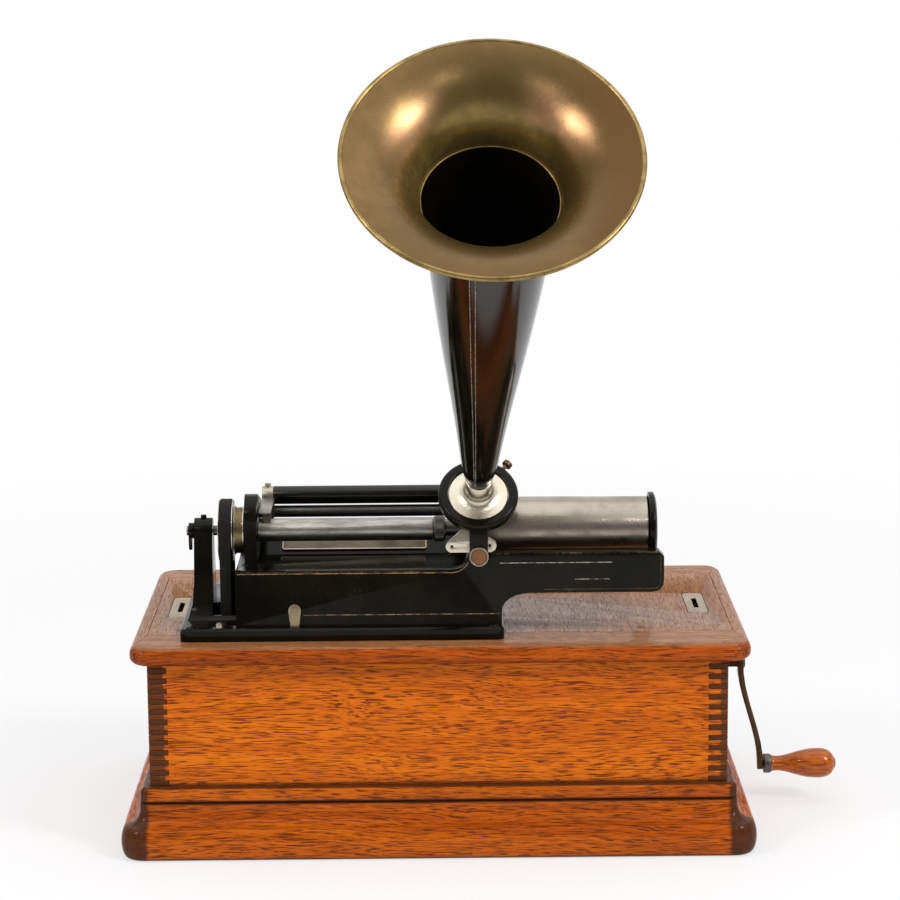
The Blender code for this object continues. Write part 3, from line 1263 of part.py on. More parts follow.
def make_gate():
    line = on_line(SHAFT_Y, SHAFT_Z)
    left, right = GATE_DISC_LEFT, GATE_DISC_RIGHT
    web_left = right - GATE_WEB
    inner = GATE_RADIUS - GATE_RIM
    tip = SHAFT_RIGHT + GAP
    profile = [(0, tip), (GATE_POINT / 2, tip), (GATE_POINT, left), (GATE_HUB, left),
               (GATE_HUB, web_left), (inner, web_left), (inner, left), (GATE_RADIUS, left),
               (GATE_RADIUS, right - GATE_RIM / 2), (inner, right), (0, right)]
    gate = piece("end_gate", turned(profile, ROUND), JAPAN, line)
    arm_bottom = REAR_ARM_BOTTOM - GATE_ARM_DROP
    arm_top = arm_bottom + GATE_ARM_HEIGHT
    half = GATE_ARM_HEIGHT / 2
    rim = SHAFT_Z - inner
    outline = [(SHAFT_Y - half, arm_bottom), (GATE_Y, arm_bottom), (GATE_Y, arm_top),
               (SHAFT_Y + 2 * half, arm_top), (SHAFT_Y + half, rim), (SHAFT_Y - half, rim)]
    add(gate, slab("X", outline, GATE_ARM_LEFT, right - GAP))
    knuckle = rod(GATE_KNUCKLE, arm_bottom - GAP, REAR_ARM_BOTTOM - GAP, SMALL_ROUND)
    add(gate, knuckle, Matrix.Translation((GATE_X, GATE_Y, 0)))
    bore = rod(GATE_PIN_RADIUS + GAP, arm_bottom - OVERRUN, REAR_ARM_BOTTOM + OVERRUN, SMALL_ROUND)
    cut(gate, bore, Matrix.Translation((GATE_X, GATE_Y, 0)))
    bottom = arm_bottom - 2 * GAP
    top = REAR_ARM_BOTTOM + GATE_PIN_DEPTH - GAP
    profile = [(0, bottom - GATE_PIN_HEAD_THICK), (GATE_PIN_HEAD, bottom - GATE_PIN_HEAD_THICK),
               (GATE_PIN_HEAD, bottom), (GATE_PIN_RADIUS, bottom), (GATE_PIN_RADIUS, top), (0, top)]
    pin = piece("gate_pin", turned(profile, SMALL_ROUND), STEEL, Matrix.Translation((GATE_X, GATE_Y, 0)))
    return gate, pin


def pitch_radius(teeth):
    return TOOTH_MODULE * teeth / 2


def gear(teeth, phase, low, width):
    # A spur gear about a line along X, with one tooth at the phase angle
    radius = pitch_radius(teeth)
    tip = radius + TOOTH_MODULE * ADDENDUM_SHARE
    root = radius - TOOTH_MODULE * DEDENDUM_SHARE
    step = math.tau / teeth
    outline = []
    for index in range(teeth):
        middle = phase + index * step
        for reach, share in ((root, -TOOTH_ROOT_SHARE), (tip, -TOOTH_TIP_SHARE), (tip, TOOTH_TIP_SHARE),
                             (root, TOOTH_ROOT_SHARE)):
            turn = middle + share * step
            outline.append((reach * math.cos(turn), reach * math.sin(turn)))
    return slab("X", outline, low, low + width)


def mesh_phase(teeth, direction):
    # Puts a gap of the driven gear where the driver's tooth points
    return direction + math.pi + math.pi / teeth


def line_down(y, other_y, first_teeth, second_teeth):
    # The height between two meshing shafts whose Ys are chosen
    distance = pitch_radius(first_teeth) + pitch_radius(second_teeth)
    return math.sqrt(distance ** 2 - (other_y - y) ** 2)


def motor_places():
    # Heights of the shafts, from the gears that mesh between them
    arbor_z = WINDING_Z - line_down(WINDING_Y, ARBOR_Y, WINDING_TEETH, ARBOR_TEETH)
    intermediate_z = arbor_z - line_down(ARBOR_Y, INTERMEDIATE_Y, RING_TEETH, PINION_TEETH)
    rise = line_down(INTERMEDIATE_Y, SHAFT_Y, WHEEL_TEETH, PINION_TEETH)
    return arbor_z, intermediate_z, SHAFT_Y, intermediate_z + rise


def governor_place():
    _, _, pulley_y, pulley_z = motor_places()
    distance = pitch_radius(GOVERNOR_WHEEL_TEETH) + pitch_radius(PINION_TEETH)
    return pulley_y + GOVERNOR_DY, pulley_z + math.sqrt(distance ** 2 - GOVERNOR_DY ** 2)


def bearing(line, radius):
    # A hole for a shaft through all the frame's plates
    right = RIGHT_PLATE_X + FRAME_PLATE + OVERRUN
    return rod(radius + GAP, OUTER_PLATE_X - OVERRUN, right, SMALL_ROUND), line


def make_motor_frame():
    arbor_z, intermediate_z, pulley_y, pulley_z = motor_places()
    governor_y, governor_z = governor_place()
    margin = FRAME_MARGIN
    top = FRAME_TOP - OVERRUN

    def plate(x, lines):
        points = []
        for y, z in lines:
            points += arc((y, z), margin, 0, 360, 6)
        ys = [y for y, _ in lines]
        points += [(min(ys) - margin, top), (max(ys) + margin, top)]
        return slab("X", hull(points), x, x + FRAME_PLATE)

    outer_lines = [(pulley_y, pulley_z), (governor_y, governor_z)]
    middle_lines = [(pulley_y, pulley_z), (INTERMEDIATE_Y, intermediate_z), (ARBOR_Y, arbor_z)]
    right_lines = [(INTERMEDIATE_Y, intermediate_z), (ARBOR_Y, arbor_z), (WINDING_Y, WINDING_Z)]
    front, back = SHAFT_Y - margin, ARBOR_Y + margin
    bridge_low = (OUTER_PLATE_X, front, FRAME_TOP - FRAME_BRIDGE)
    bridge = block(bridge_low, (RIGHT_PLATE_X + FRAME_PLATE, back, FRAME_TOP))
    frame = piece("motor_frame", bridge, JAPAN)
    add(frame, plate(OUTER_PLATE_X, outer_lines))
    add(frame, plate(MIDDLE_PLATE_X, middle_lines))
    add(frame, plate(RIGHT_PLATE_X, right_lines))
    for x in (OUTER_PLATE_X + margin, RIGHT_PLATE_X - margin):
        for y in (front + margin, back - margin):
            post = rod(FRAME_POST, FRAME_TOP - FRAME_BRIDGE / 2, DECK_UNDER - GAP, SMALL_ROUND)
            add(frame, post, Matrix.Translation((x, y, 0)))
    cut(frame, *bearing(on_line(pulley_y, pulley_z), PULLEY_SHAFT))
    cut(frame, *bearing(on_line(INTERMEDIATE_Y, intermediate_z), INTERMEDIATE_RADIUS))
    cut(frame, *bearing(on_line(ARBOR_Y, arbor_z), ARBOR_RADIUS))
    cut(frame, *bearing(on_line(WINDING_Y, WINDING_Z), WINDING_RADIUS))
    bore = GOVERNOR_SHAFT + GAP
    governor_bore = rod(bore, OUTER_PLATE_X - OVERRUN, OUTER_PLATE_X + 2 * FRAME_PLATE, SMALL_ROUND)
    cut(frame, governor_bore, on_line(governor_y, governor_z))
    far = MIDDLE_PLATE_X - FRAME_PLATE
    governor_bore = rod(bore, far, MIDDLE_PLATE_X + 2 * FRAME_PLATE, SMALL_ROUND)
    cut(frame, governor_bore, on_line(governor_y, governor_z))
    return frame


def shifted(mesh, y, z):
    mesh.transform(Matrix.Translation((0, y, z)))
    return mesh


def make_winding():
    arbor_z, _, _, _ = motor_places()
    line = on_line(WINDING_Y, WINDING_Z)
    low = RIGHT_PLATE_X - SHAFT_STUB
    winding = piece("winding_shaft", rod(WINDING_RADIUS, low, WINDING_END, SMALL_ROUND), STEEL, line)
    toward_arbor = math.atan2(arbor_z - WINDING_Z, ARBOR_Y - WINDING_Y)
    pinion = gear(WINDING_TEETH, toward_arbor, WINDING_GEAR_X, PINION_WIDTH)
    add(winding, shifted(pinion, WINDING_Y, WINDING_Z))
    line = on_line(ARBOR_Y, arbor_z)
    end = WINDING_GEAR_X + PINION_WIDTH + SHAFT_STUB
    shaft = rod(ARBOR_RADIUS, MIDDLE_PLATE_X - SHAFT_STUB, end, SMALL_ROUND)
    arbor = piece("barrel_arbor", shaft, STEEL, line)
    phase = mesh_phase(ARBOR_TEETH, toward_arbor)
    add(arbor, shifted(gear(ARBOR_TEETH, phase, WINDING_GEAR_X + GAP, GEAR_WIDTH), ARBOR_Y, arbor_z))
    return winding, arbor


def make_train():
    arbor_z, intermediate_z, pulley_y, pulley_z = motor_places()
    governor_y, governor_z = governor_place()
    bore = ARBOR_RADIUS + GAP
    left, right = BARREL_GEAR_X, BARREL_LEFT + BARREL_WIDTH
    hub = BARREL_RADIUS / 3
    profile = [(0, left), (hub, left), (hub, BARREL_LEFT), (BARREL_RADIUS, BARREL_LEFT),
               (BARREL_RADIUS, right), (hub, right), (hub, right + SHAFT_STUB), (0, right + SHAFT_STUB)]
    barrel_line = on_line(ARBOR_Y, arbor_z)
    barrel = piece("spring_barrel", turned(profile, ROUND), BRASS, barrel_line)
    to_intermediate = math.atan2(intermediate_z - arbor_z, INTERMEDIATE_Y - ARBOR_Y)
    ring = gear(RING_TEETH, to_intermediate, BARREL_GEAR_X, GEAR_WIDTH)
    add(barrel, shifted(ring, ARBOR_Y, arbor_z))
    cut(barrel, rod(bore, left - OVERRUN, right + SHAFT_STUB + OVERRUN, SMALL_ROUND), barrel_line)

    low, high = MIDDLE_PLATE_X - SHAFT_STUB, RIGHT_PLATE_X + FRAME_PLATE + SHAFT_STUB
    line = on_line(INTERMEDIATE_Y, intermediate_z)
    shaft = rod(INTERMEDIATE_RADIUS, low, high, SMALL_ROUND)
    intermediate = piece("intermediate_gear", shaft, BRASS, line)
    pinion_x = BARREL_GEAR_X - (PINION_WIDTH - GEAR_WIDTH) / 2
    pinion = gear(PINION_TEETH, mesh_phase(PINION_TEETH, to_intermediate), pinion_x, PINION_WIDTH)
    add(intermediate, shifted(pinion, INTERMEDIATE_Y, intermediate_z))
    to_pulley = math.atan2(pulley_z - intermediate_z, pulley_y - INTERMEDIATE_Y)
    wheel = gear(WHEEL_TEETH, to_pulley, WHEEL_GEAR_X, GEAR_WIDTH)
    add(intermediate, shifted(wheel, INTERMEDIATE_Y, intermediate_z))

    left, right = WHEEL_LEFT, WHEEL_LEFT + WHEEL_WIDTH
    seat = PULLEY_RADIUS - BELT_SEAT_DEPTH
    profile = [(0, left), (PULLEY_RADIUS, left), (PULLEY_RADIUS, left + WHEEL_FLANGE),
               (seat, left + WHEEL_FLANGE), (seat, right - WHEEL_FLANGE),
               (PULLEY_RADIUS, right - WHEEL_FLANGE), (PULLEY_RADIUS, right), (PULLEY_SHAFT, right),
               (PULLEY_SHAFT, WHEEL_GEAR_X + PINION_WIDTH + SHAFT_STUB),
               (0, WHEEL_GEAR_X + PINION_WIDTH + SHAFT_STUB)]
    pulley = piece("drive_pulley", turned(profile), STEEL, on_line(pulley_y, pulley_z))
    pinion_x = WHEEL_GEAR_X - (PINION_WIDTH - GEAR_WIDTH) / 2
    pinion = gear(PINION_TEETH, mesh_phase(PINION_TEETH, to_pulley), pinion_x, PINION_WIDTH)
    add(pulley, shifted(pinion, pulley_y, pulley_z))
    to_governor = math.atan2(governor_z - pulley_z, governor_y - pulley_y)
    wheel = gear(GOVERNOR_WHEEL_TEETH, to_governor, GOVERNOR_GEAR_X, GEAR_WIDTH)
    add(pulley, shifted(wheel, pulley_y, pulley_z))
    return barrel, intermediate, pulley


def make_governor():
    # Three balls on leaf springs between two collars, with a friction disc
    pulley_y, pulley_z = motor_places()[2:]
    y, z = governor_place()
    line = on_line(y, z)
    low, high = OUTER_PLATE_X - SHAFT_STUB, MIDDLE_PLATE_X + FRAME_PLATE + SHAFT_STUB
    collars = [GOVERNOR_BALL_X - GOVERNOR_SPAN, GOVERNOR_BALL_X + GOVERNOR_SPAN]
    width = GOVERNOR_COLLAR
    disc = collars[1] + 2 * width
    profile = [(0, low), (GOVERNOR_SHAFT, low)]
    for middle in collars:
        profile += [(GOVERNOR_SHAFT, middle - width / 2), (width, middle - width / 2),
                    (width, middle + width / 2), (GOVERNOR_SHAFT, middle + width / 2)]
    profile += [(GOVERNOR_SHAFT, disc), (GOVERNOR_DISC, disc), (GOVERNOR_DISC, disc + GOVERNOR_DISC_THICK),
                (GOVERNOR_SHAFT, disc + GOVERNOR_DISC_THICK), (GOVERNOR_SHAFT, high), (0, high)]
    governor = piece("governor", turned(profile, SMALL_ROUND), BRASS, line)
    direction = math.atan2(z - pulley_z, y - pulley_y)
    pinion_x = GOVERNOR_GEAR_X - (PINION_WIDTH - GEAR_WIDTH) / 2
    pinion = gear(PINION_TEETH, mesh_phase(PINION_TEETH, direction), pinion_x, PINION_WIDTH)
    add(governor, shifted(pinion, y, z))
    thick, half = GOVERNOR_SPRING_THICK, GOVERNOR_SPRING_HALF
    inner = GOVERNOR_COLLAR - 2 * thick
    for index in range(3):
        turn = Matrix.Rotation(math.tau * index / 3, 4, "X")
        place = Matrix.Translation((0, y, z)) @ turn
        upper = [(collars[0], inner + thick), (GOVERNOR_BALL_X, GOVERNOR_SWING), (collars[1], inner + thick)]
        strip = upper + [(x, height - thick) for x, height in reversed(upper)]
        add(governor, slab("Y", strip, -half, half), place)
        ball = [(0, -GOVERNOR_BALL), *arc((0, 0), GOVERNOR_BALL, -45, 45, 2), (0, GOVERNOR_BALL)]
        centre = Matrix.Translation((GOVERNOR_BALL_X, 0, GOVERNOR_SWING))
        add(governor, turned(ball, SMALL_ROUND), place @ centre)
    return governor


def crank_loops():
    # Sections down the arm: a flat bar that bends outwards, with round ends
    loops = []
    steps = 12
    top = WINDING_Z + CRANK_ARM_HALF
    bottom = WINDING_Z - CRANK_THROW - CRANK_ARM_END_HALF
    for step in range(steps + 1):
        share = 0.5 - 0.5 * math.cos(math.pi * step / steps)
        height = top + (bottom - top) * share
        bend = min(max((WINDING_Z - height) / CRANK_THROW, 0), 1)
        x = CRANK_ARM_X + CRANK_SET * bend * bend * (3 - 2 * bend)
        width = CRANK_ARM_HALF + (CRANK_ARM_END_HALF - CRANK_ARM_HALF) * bend
        for middle, radius in ((WINDING_Z, CRANK_ARM_HALF), (WINDING_Z - CRANK_THROW, CRANK_ARM_END_HALF)):
            past = (height - middle) * (1 if middle == WINDING_Z else -1)
            if past > 0:
                width = max(math.sqrt(max(radius ** 2 - past ** 2, 0)), radius / 4)
        loops.append([(x, -width, height), (x + CRANK_ARM_THICK, -width, height),
                      (x + CRANK_ARM_THICK, width, height), (x, width, height)])
    return loops


def make_crank():
    # The shaft and the handle's pin are riveted into the arm for good
    line = on_line(WINDING_Y, WINDING_Z)
    outside = CRANK_ARM_X + CRANK_ARM_THICK
    rivet = outside + CRANK_RIVET_THICK
    profile = [(0, CRANK_SHAFT_END), (CRANK_SHAFT_RADIUS, CRANK_SHAFT_END), (CRANK_SHAFT_RADIUS, outside),
               (CRANK_RIVET, outside), (CRANK_SHAFT_RADIUS, rivet), (0, rivet)]
    crank = piece("crank", turned(profile, SMALL_ROUND), STEEL, line)
    add(crank, loft(crank_loops()))
    handle_z = WINDING_Z - CRANK_THROW
    handle_x = CRANK_ARM_X + CRANK_SET + CRANK_ARM_THICK
    start = handle_x + 2 * GAP
    end = start + HANDLE_LENGTH
    line = on_line(WINDING_Y, handle_z)
    head = 2 * HANDLE_PIN
    profile = [(0, handle_x - CRANK_ARM_THICK / 2), (HANDLE_PIN, handle_x - CRANK_ARM_THICK / 2),
               (HANDLE_PIN, end + GAP), (head, end + GAP), (HANDLE_PIN, end + HANDLE_PIN / 2),
               (0, end + HANDLE_PIN / 2)]
    add(crank, turned(profile, SMALL_ROUND), line)
    profile = [(HANDLE_BORE, start)]
    for along, swell in zip(HANDLE_ALONG_SHARES, HANDLE_SWELL_SHARES):
        radius = HANDLE_NECK + (HANDLE_MAX - HANDLE_NECK) * swell
        profile.append((radius, start + HANDLE_LENGTH * along))
    profile.append((HANDLE_BORE, end))
    handle = piece("crank_handle", turned(profile, ROUND, ring=True), HANDLE_WOOD, line, smooth=60)
    half_width = CASE_WIDTH / 2
    flange_low = half_width + GAP
    flange_high = flange_low + BUSH_FLANGE_THICK
    profile = [(BUSH_BORE, half_width - WALL_THICK), (BUSH_RADIUS, half_width - WALL_THICK),
               (BUSH_RADIUS, flange_low), (BUSH_FLANGE, flange_low), (BUSH_FLANGE, flange_high),
               (BUSH_BORE, flange_high)]
    bush = piece("crank_bush", turned(profile, SMALL_ROUND, ring=True), BRASS, on_line(WINDING_Y, WINDING_Z))
    return crank, handle, bush


def main():
    for thing in list(bpy.data.objects):
        bpy.data.objects.remove(thing)
    make_walls()
    make_plinth()
    _, upper = make_hinges()
    deck = make_deck() + make_catch_plates() + upper
    deck += [make_bed(), make_blank_plate(), make_belt(), make_motor_frame()]
    speed_screw = make_speed_screw()
    start_lever = make_start_lever()
    centre_screw, wing_nut = make_centre_screw()
    shaft_pieces = make_shaft_line()
    back_rod = piece("back_rod", rod(ROD_RADIUS, STANDARD_LEFT, REAR_ARM_RIGHT - OVERRUN - GAP, SMALL_ROUND),
                     JAPAN, on_line(ROD_Y, ROD_Z))
    carriage = make_carriage() + [make_speaker_arm()]
    knob, thumb, guide = make_arm_fittings()
    carriage += [guide] + list(make_reproducer())
    weight = make_stylus_weight()
    horn = make_horn()
    gate, pin = make_gate()
    winding, arbor = make_winding()
    barrel, intermediate, pulley = make_train()
    governor = make_governor()
    crank, handle, _ = make_crank()
    axis_mark("deck_lift", (0, HINGE_Y, HINGE_Z), deck + [pin])
    axis_mark("mandrel_spin", (0, SHAFT_Y, SHAFT_Z), shaft_pieces)
    axis_mark("carriage_lift", (0, ROD_Y, ROD_Z), [back_rod])
    axis_mark("carriage_travel", (CARRIAGE_X, ROD_Y, ROD_Z), carriage)
    axis_mark("gate_swing", (GATE_X, GATE_Y, REAR_ARM_BOTTOM), [gate])
    axis_mark("crank_turn", (CRANK_ARM_X, WINDING_Y, WINDING_Z), [crank])
    axis_mark("lever_slide", (LEVER_X, LEVER_Y, FLANGE_TOP), [start_lever])
    handle_z = WINDING_Z - CRANK_THROW
    axis_mark("handle_spin", (CRANK_ARM_X + CRANK_SET, WINDING_Y, handle_z), [handle])
    axis_mark("horn_pull", ring_place().translation, horn)
    for thing in (speed_screw, centre_screw, wing_nut, knob, thumb, weight, winding, arbor, barrel,
                  intermediate, pulley, governor):
        place = thing.matrix_world.translation.copy()
        axis_mark(thing.name + "_axis", place, [thing])


main()
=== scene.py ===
import json
import math

import bmesh
import bpy
from mathutils import Matrix, Vector

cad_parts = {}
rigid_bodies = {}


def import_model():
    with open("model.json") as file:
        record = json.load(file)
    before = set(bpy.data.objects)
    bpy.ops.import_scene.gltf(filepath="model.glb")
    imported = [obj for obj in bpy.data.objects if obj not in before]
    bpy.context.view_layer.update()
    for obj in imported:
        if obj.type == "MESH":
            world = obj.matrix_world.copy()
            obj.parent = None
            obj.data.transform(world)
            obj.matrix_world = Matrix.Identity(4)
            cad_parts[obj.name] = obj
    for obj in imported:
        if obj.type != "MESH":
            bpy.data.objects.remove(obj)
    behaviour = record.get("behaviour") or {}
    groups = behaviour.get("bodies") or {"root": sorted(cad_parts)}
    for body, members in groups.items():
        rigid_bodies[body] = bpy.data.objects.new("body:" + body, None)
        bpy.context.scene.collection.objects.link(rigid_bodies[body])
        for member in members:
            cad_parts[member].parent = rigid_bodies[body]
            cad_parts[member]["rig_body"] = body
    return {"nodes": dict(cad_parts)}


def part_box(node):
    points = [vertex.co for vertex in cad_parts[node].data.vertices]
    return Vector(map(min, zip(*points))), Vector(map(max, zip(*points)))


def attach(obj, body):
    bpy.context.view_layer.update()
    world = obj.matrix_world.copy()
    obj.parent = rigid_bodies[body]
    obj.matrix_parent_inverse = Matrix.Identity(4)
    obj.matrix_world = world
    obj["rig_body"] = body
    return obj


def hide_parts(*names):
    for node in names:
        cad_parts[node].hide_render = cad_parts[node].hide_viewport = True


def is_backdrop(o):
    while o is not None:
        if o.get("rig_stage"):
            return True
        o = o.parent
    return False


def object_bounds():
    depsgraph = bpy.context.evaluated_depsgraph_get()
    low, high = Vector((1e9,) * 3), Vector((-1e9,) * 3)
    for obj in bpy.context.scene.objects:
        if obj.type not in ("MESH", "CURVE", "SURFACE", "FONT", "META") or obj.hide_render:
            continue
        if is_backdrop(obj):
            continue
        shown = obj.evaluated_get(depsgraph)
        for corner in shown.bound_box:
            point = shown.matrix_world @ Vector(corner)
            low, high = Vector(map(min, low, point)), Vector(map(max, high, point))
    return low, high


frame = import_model()
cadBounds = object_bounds()
nodes = frame["nodes"]
mm = 0.001
print("frame loaded:", len(nodes), "nodes")


class Signal:
    # a value that changes over a surface; sums of these add their own Math nodes
    def __init__(self, web, socket):
        self.web = web
        self.socket = socket

    def sum(self, operation, first, second=None):
        sockets = {0: first} if second is None else {0: first, 1: second}
        return self.web.add("ShaderNodeMath", {"operation": operation}, sockets)

    def __add__(self, other):
        return self.sum("ADD", self, other)

    def __radd__(self, other):
        return self.sum("ADD", other, self)

    def __sub__(self, other):
        return self.sum("SUBTRACT", self, other)

    def __rsub__(self, other):
        return self.sum("SUBTRACT", other, self)

    def __mul__(self, other):
        return self.sum("MULTIPLY", self, other)

    def __rmul__(self, other):
        return self.sum("MULTIPLY", other, self)

    def __abs__(self):
        return self.sum("ABSOLUTE", self)

    def most(self, other):
        return self.sum("MAXIMUM", self, other)

    def wave(self):
        return self.sum("SINE", self)

    def step(self, low, high, bottom=0.0, top=1.0):
        # runs smoothly from bottom to top as the value goes from low to high
        settings = {"interpolation_type": "SMOOTHSTEP"}
        sockets = {"Value": self, "From Min": low, "From Max": high, "To Min": bottom, "To Max": top}
        return self.web.add("ShaderNodeMapRange", settings, sockets)

    def near(self, middle, half, soft):
        # 1 within half of the middle, fading out over soft
        return abs(self - middle).step(half, half + soft, 1.0, 0.0)


class Web:
    # a node tree; every node of it is made by add()
    def __init__(self, tree):
        self.tree = tree

    def feed(self, socket, value):
        if isinstance(value, Signal):
            self.tree.links.new(value.socket, socket)
        elif socket.type == "RGBA" and len(value) == 3:
            socket.default_value = (*value, 1)
        else:
            socket.default_value = value

    def add(self, kind, settings=None, sockets=None, out=0):
        node = self.tree.nodes.new(kind)
        for key, value in (settings or {}).items():
            setattr(node, key, value)
        for key, value in (sockets or {}).items():
            self.feed(node.inputs[key], value)
        return Signal(self, node.outputs[out])

    def parts(self, vector):
        # the three numbers of a vector
        split = self.tree.nodes.new("ShaderNodeSeparateXYZ")
        self.feed(split.inputs[0], vector)
        return [Signal(self, axis) for axis in split.outputs]

    def place(self):
        # x, y and z in millimetres
        return [axis * 1000 for axis in self.parts(self.add("ShaderNodeTexCoord", out=3))]

    def facing(self):
        return self.parts(self.add("ShaderNodeNewGeometry", out=1))

    def at(self, x, y, z):
        return self.add("ShaderNodeCombineXYZ", sockets={0: x, 1: y, 2: z})

    def noise(self, where, scale=1.0, detail=3.0, rough=0.55, bend=0.0):
        sockets = {"Vector": where, "Scale": scale, "Detail": detail, "Roughness": rough, "Distortion": bend}
        return self.add("ShaderNodeTexNoise", None, sockets)

    def marks(self, stretch, detail=3.0, rough=0.55):
        # noise that changes along x, y and z at these rates, in cycles per millimetre
        return self.noise(self.at(*(axis * rate for axis, rate in zip(self.place(), stretch))), 1.0, detail, rough)

    def blend(self, share, first, second):
        # from the first colour to the second as the share goes from 0 to 1
        settings = {"data_type": "RGBA", "clamp_factor": True}
        return self.add("ShaderNodeMix", settings, {0: share, 6: first, 7: second}, out=2)


class Paint(Web):
    # one material, whose uniform values are given by name
    def __init__(self, name, **uniform):
        self.material = bpy.data.materials.new(name)
        self.material.use_nodes = True
        super().__init__(self.material.node_tree)
        self.shader = self.tree.nodes["Principled BSDF"]
        for socket, value in uniform.items():
            self.feed(self.shader.inputs[socket.replace("_", " ")], value)

    def colour(self, value):
        self.feed(self.shader.inputs["Base Color"], value)

    def rough(self, value):
        self.feed(self.shader.inputs["Roughness"], value)

    def bump(self, height, depth, strength=1.0):
        sockets = {"Height": height, "Distance": depth, "Strength": strength}
        self.feed(self.shader.inputs["Normal"], self.add("ShaderNodeBump", None, sockets))


# oak: golden on the walls, browner on the plinth, redder on the deck's edge, paler on its top, partly from real
# fading and partly as a painted reflection
oakLooks = {
    "wall": {"light": (0.70, 0.165, 0.0040), "deep": (0.50, 0.092, 0.0030), "pore": (0.130, 0.021, 0.002),
             "end": (0.070, 0.022, 0.007), "rough": 0.24, "dashes": 0.90},
    "plinth": {"light": (0.56, 0.122, 0.0040), "deep": (0.34, 0.058, 0.0030), "pore": (0.080, 0.014, 0.002),
               "end": (0.050, 0.017, 0.006), "rough": 0.22, "dashes": 0.85},
    "edge": {"light": (0.46, 0.088, 0.0040), "deep": (0.26, 0.040, 0.0030), "pore": (0.070, 0.013, 0.002),
             "end": (0.040, 0.014, 0.005), "rough": 0.20, "dashes": 0.85},
    # paler, pinker top colours: partly real fading, partly a painted reflection
    "top": {"light": (0.40, 0.180, 0.072), "deep": (0.26, 0.100, 0.034), "pore": (0.100, 0.034, 0.012),
            "end": (0.06, 0.024, 0.013), "rough": 0.22, "dashes": 0.65},
}


def oakGrain(paint, grain, look):
    # growth bands, streaks and the short dark dashes of the pores
    x, y, z = paint.place()
    along, side, up = {"X": (x, y, z), "Y": (y, x, z), "Z": (z, x, y)}[grain]
    drift = paint.noise(paint.at(along * 0.006, side * 0.02, up * 0.02), detail=2)
    wavy = up + along * 0.012 + (drift - 0.5) * 22
    deep = side + along * 0.012 + (drift - 0.5) * 14
    bands = paint.noise(paint.at(along * 0.004, deep * 0.10, wavy * 0.15), detail=4, rough=0.6)
    streaks = paint.noise(paint.at(along * 0.018, deep * 0.55, wavy * 0.75), detail=5, rough=0.65)
    dashes = paint.noise(paint.at(along * 0.08, deep * 1.7, wavy * 1.7), detail=2, rough=0.45)
    thick = paint.noise(paint.at(along * 0.035, deep * 0.22, wavy * 0.30), detail=2)
    pores = dashes.step(0.50, 0.60) * (streaks * 0.5 + thick * 0.5).step(0.36, 0.50)
    shade = paint.blend((bands * 0.55 + streaks * 0.45).step(0.36, 0.66), look["light"], look["deep"])
    return paint.blend(pores * look["dashes"], shade, look["pore"]), pores, bands


def oakPaint(name, grain, kind, endAxis=None, stainsAndShade=None, top=None, rays=0.0):
    look = oakLooks[kind]
    paint = Paint(name, Specular_IOR_Level=0.05, Coat_Weight=0.15, Coat_Roughness=0.06)
    shade, pores, bands = oakGrain(paint, grain, look)
    x, y, z = paint.place()
    nx, ny, nz = paint.facing()
    # the deck's upward faces take the paler top colours, partly real fading and partly a painted reflection
    if top is not None:
        topFadeAndReflection, _, _ = oakGrain(paint, top, oakLooks["top"])
        if rays:
            ray = paint.noise(paint.at(x * 0.30, y * 0.045 + x * 0.02, z), detail=2, bend=0.6)
            front = y.step(-40, -75) * (x.near(60, 60, 70) * 0.8 + 0.2)
            topFadeAndReflection = paint.blend(ray.step(0.56, 0.66, 0, rays) * (front * 0.8 + 0.2), topFadeAndReflection, (0.42, 0.150, 0.040))
        shade = paint.blend(nz.step(0.70, 0.97), shade, topFadeAndReflection)
    if endAxis is not None:
        cut = abs({"X": nx, "Y": ny}[endAxis]).step(0.75, 0.9)
        spots = paint.marks((0.9, 0.9, 0.9))
        shade = paint.blend(cut, shade, paint.blend(spots.step(0.35, 0.7), look["end"], (0.15, 0.050, 0.014)))
    # stains and painted shade, in the end grain's dark colour
    if stainsAndShade is not None:
        shade = paint.blend(stainsAndShade(paint, x, y, z), shade, look["end"])
    paint.colour(shade)
    paint.rough(look["rough"] + pores * 0.25 + bands * 0.06)
    paint.bump(1 - pores, 0.00025, 0.5)
    return paint.material


def raggedEdge(paint):
    return paint.marks((0.10, 0.10, 0.45), 4) * 6 - 3


def cornerStainsAndShade(paint, x, y, z):
    # old varnish gone dark over the finger joints, nearly solid on the left, ragged on the right; painted shade in
    # a band just above the plinth and a painted shadow just under the deck
    ragged = raggedEdge(paint)
    left = (x + ragged).step(-184.2, -185.4) * 0.86
    right = (x + ragged * 0.6).step(189.6, 191.4) * 0.82
    # painted shade where the wall meets the plinth
    low = (z + ragged * 0.3).step(50.0, 48.4) * 0.75
    # painted shadow under the deck's overhang
    high = (z + ragged * 0.3).step(131.2, 132.4) * 0.75
    return left.most(right).most(low).most(high)


def sideStainsAndShade(paint, x, y, z):
    ragged = raggedEdge(paint)
    ends = (abs(y) + ragged).step(94.5, 96.5) * 0.8
    # painted shade just above the plinth
    low = (z + ragged * 0.3).step(50.0, 48.4) * 0.75
    return ends.most(low)


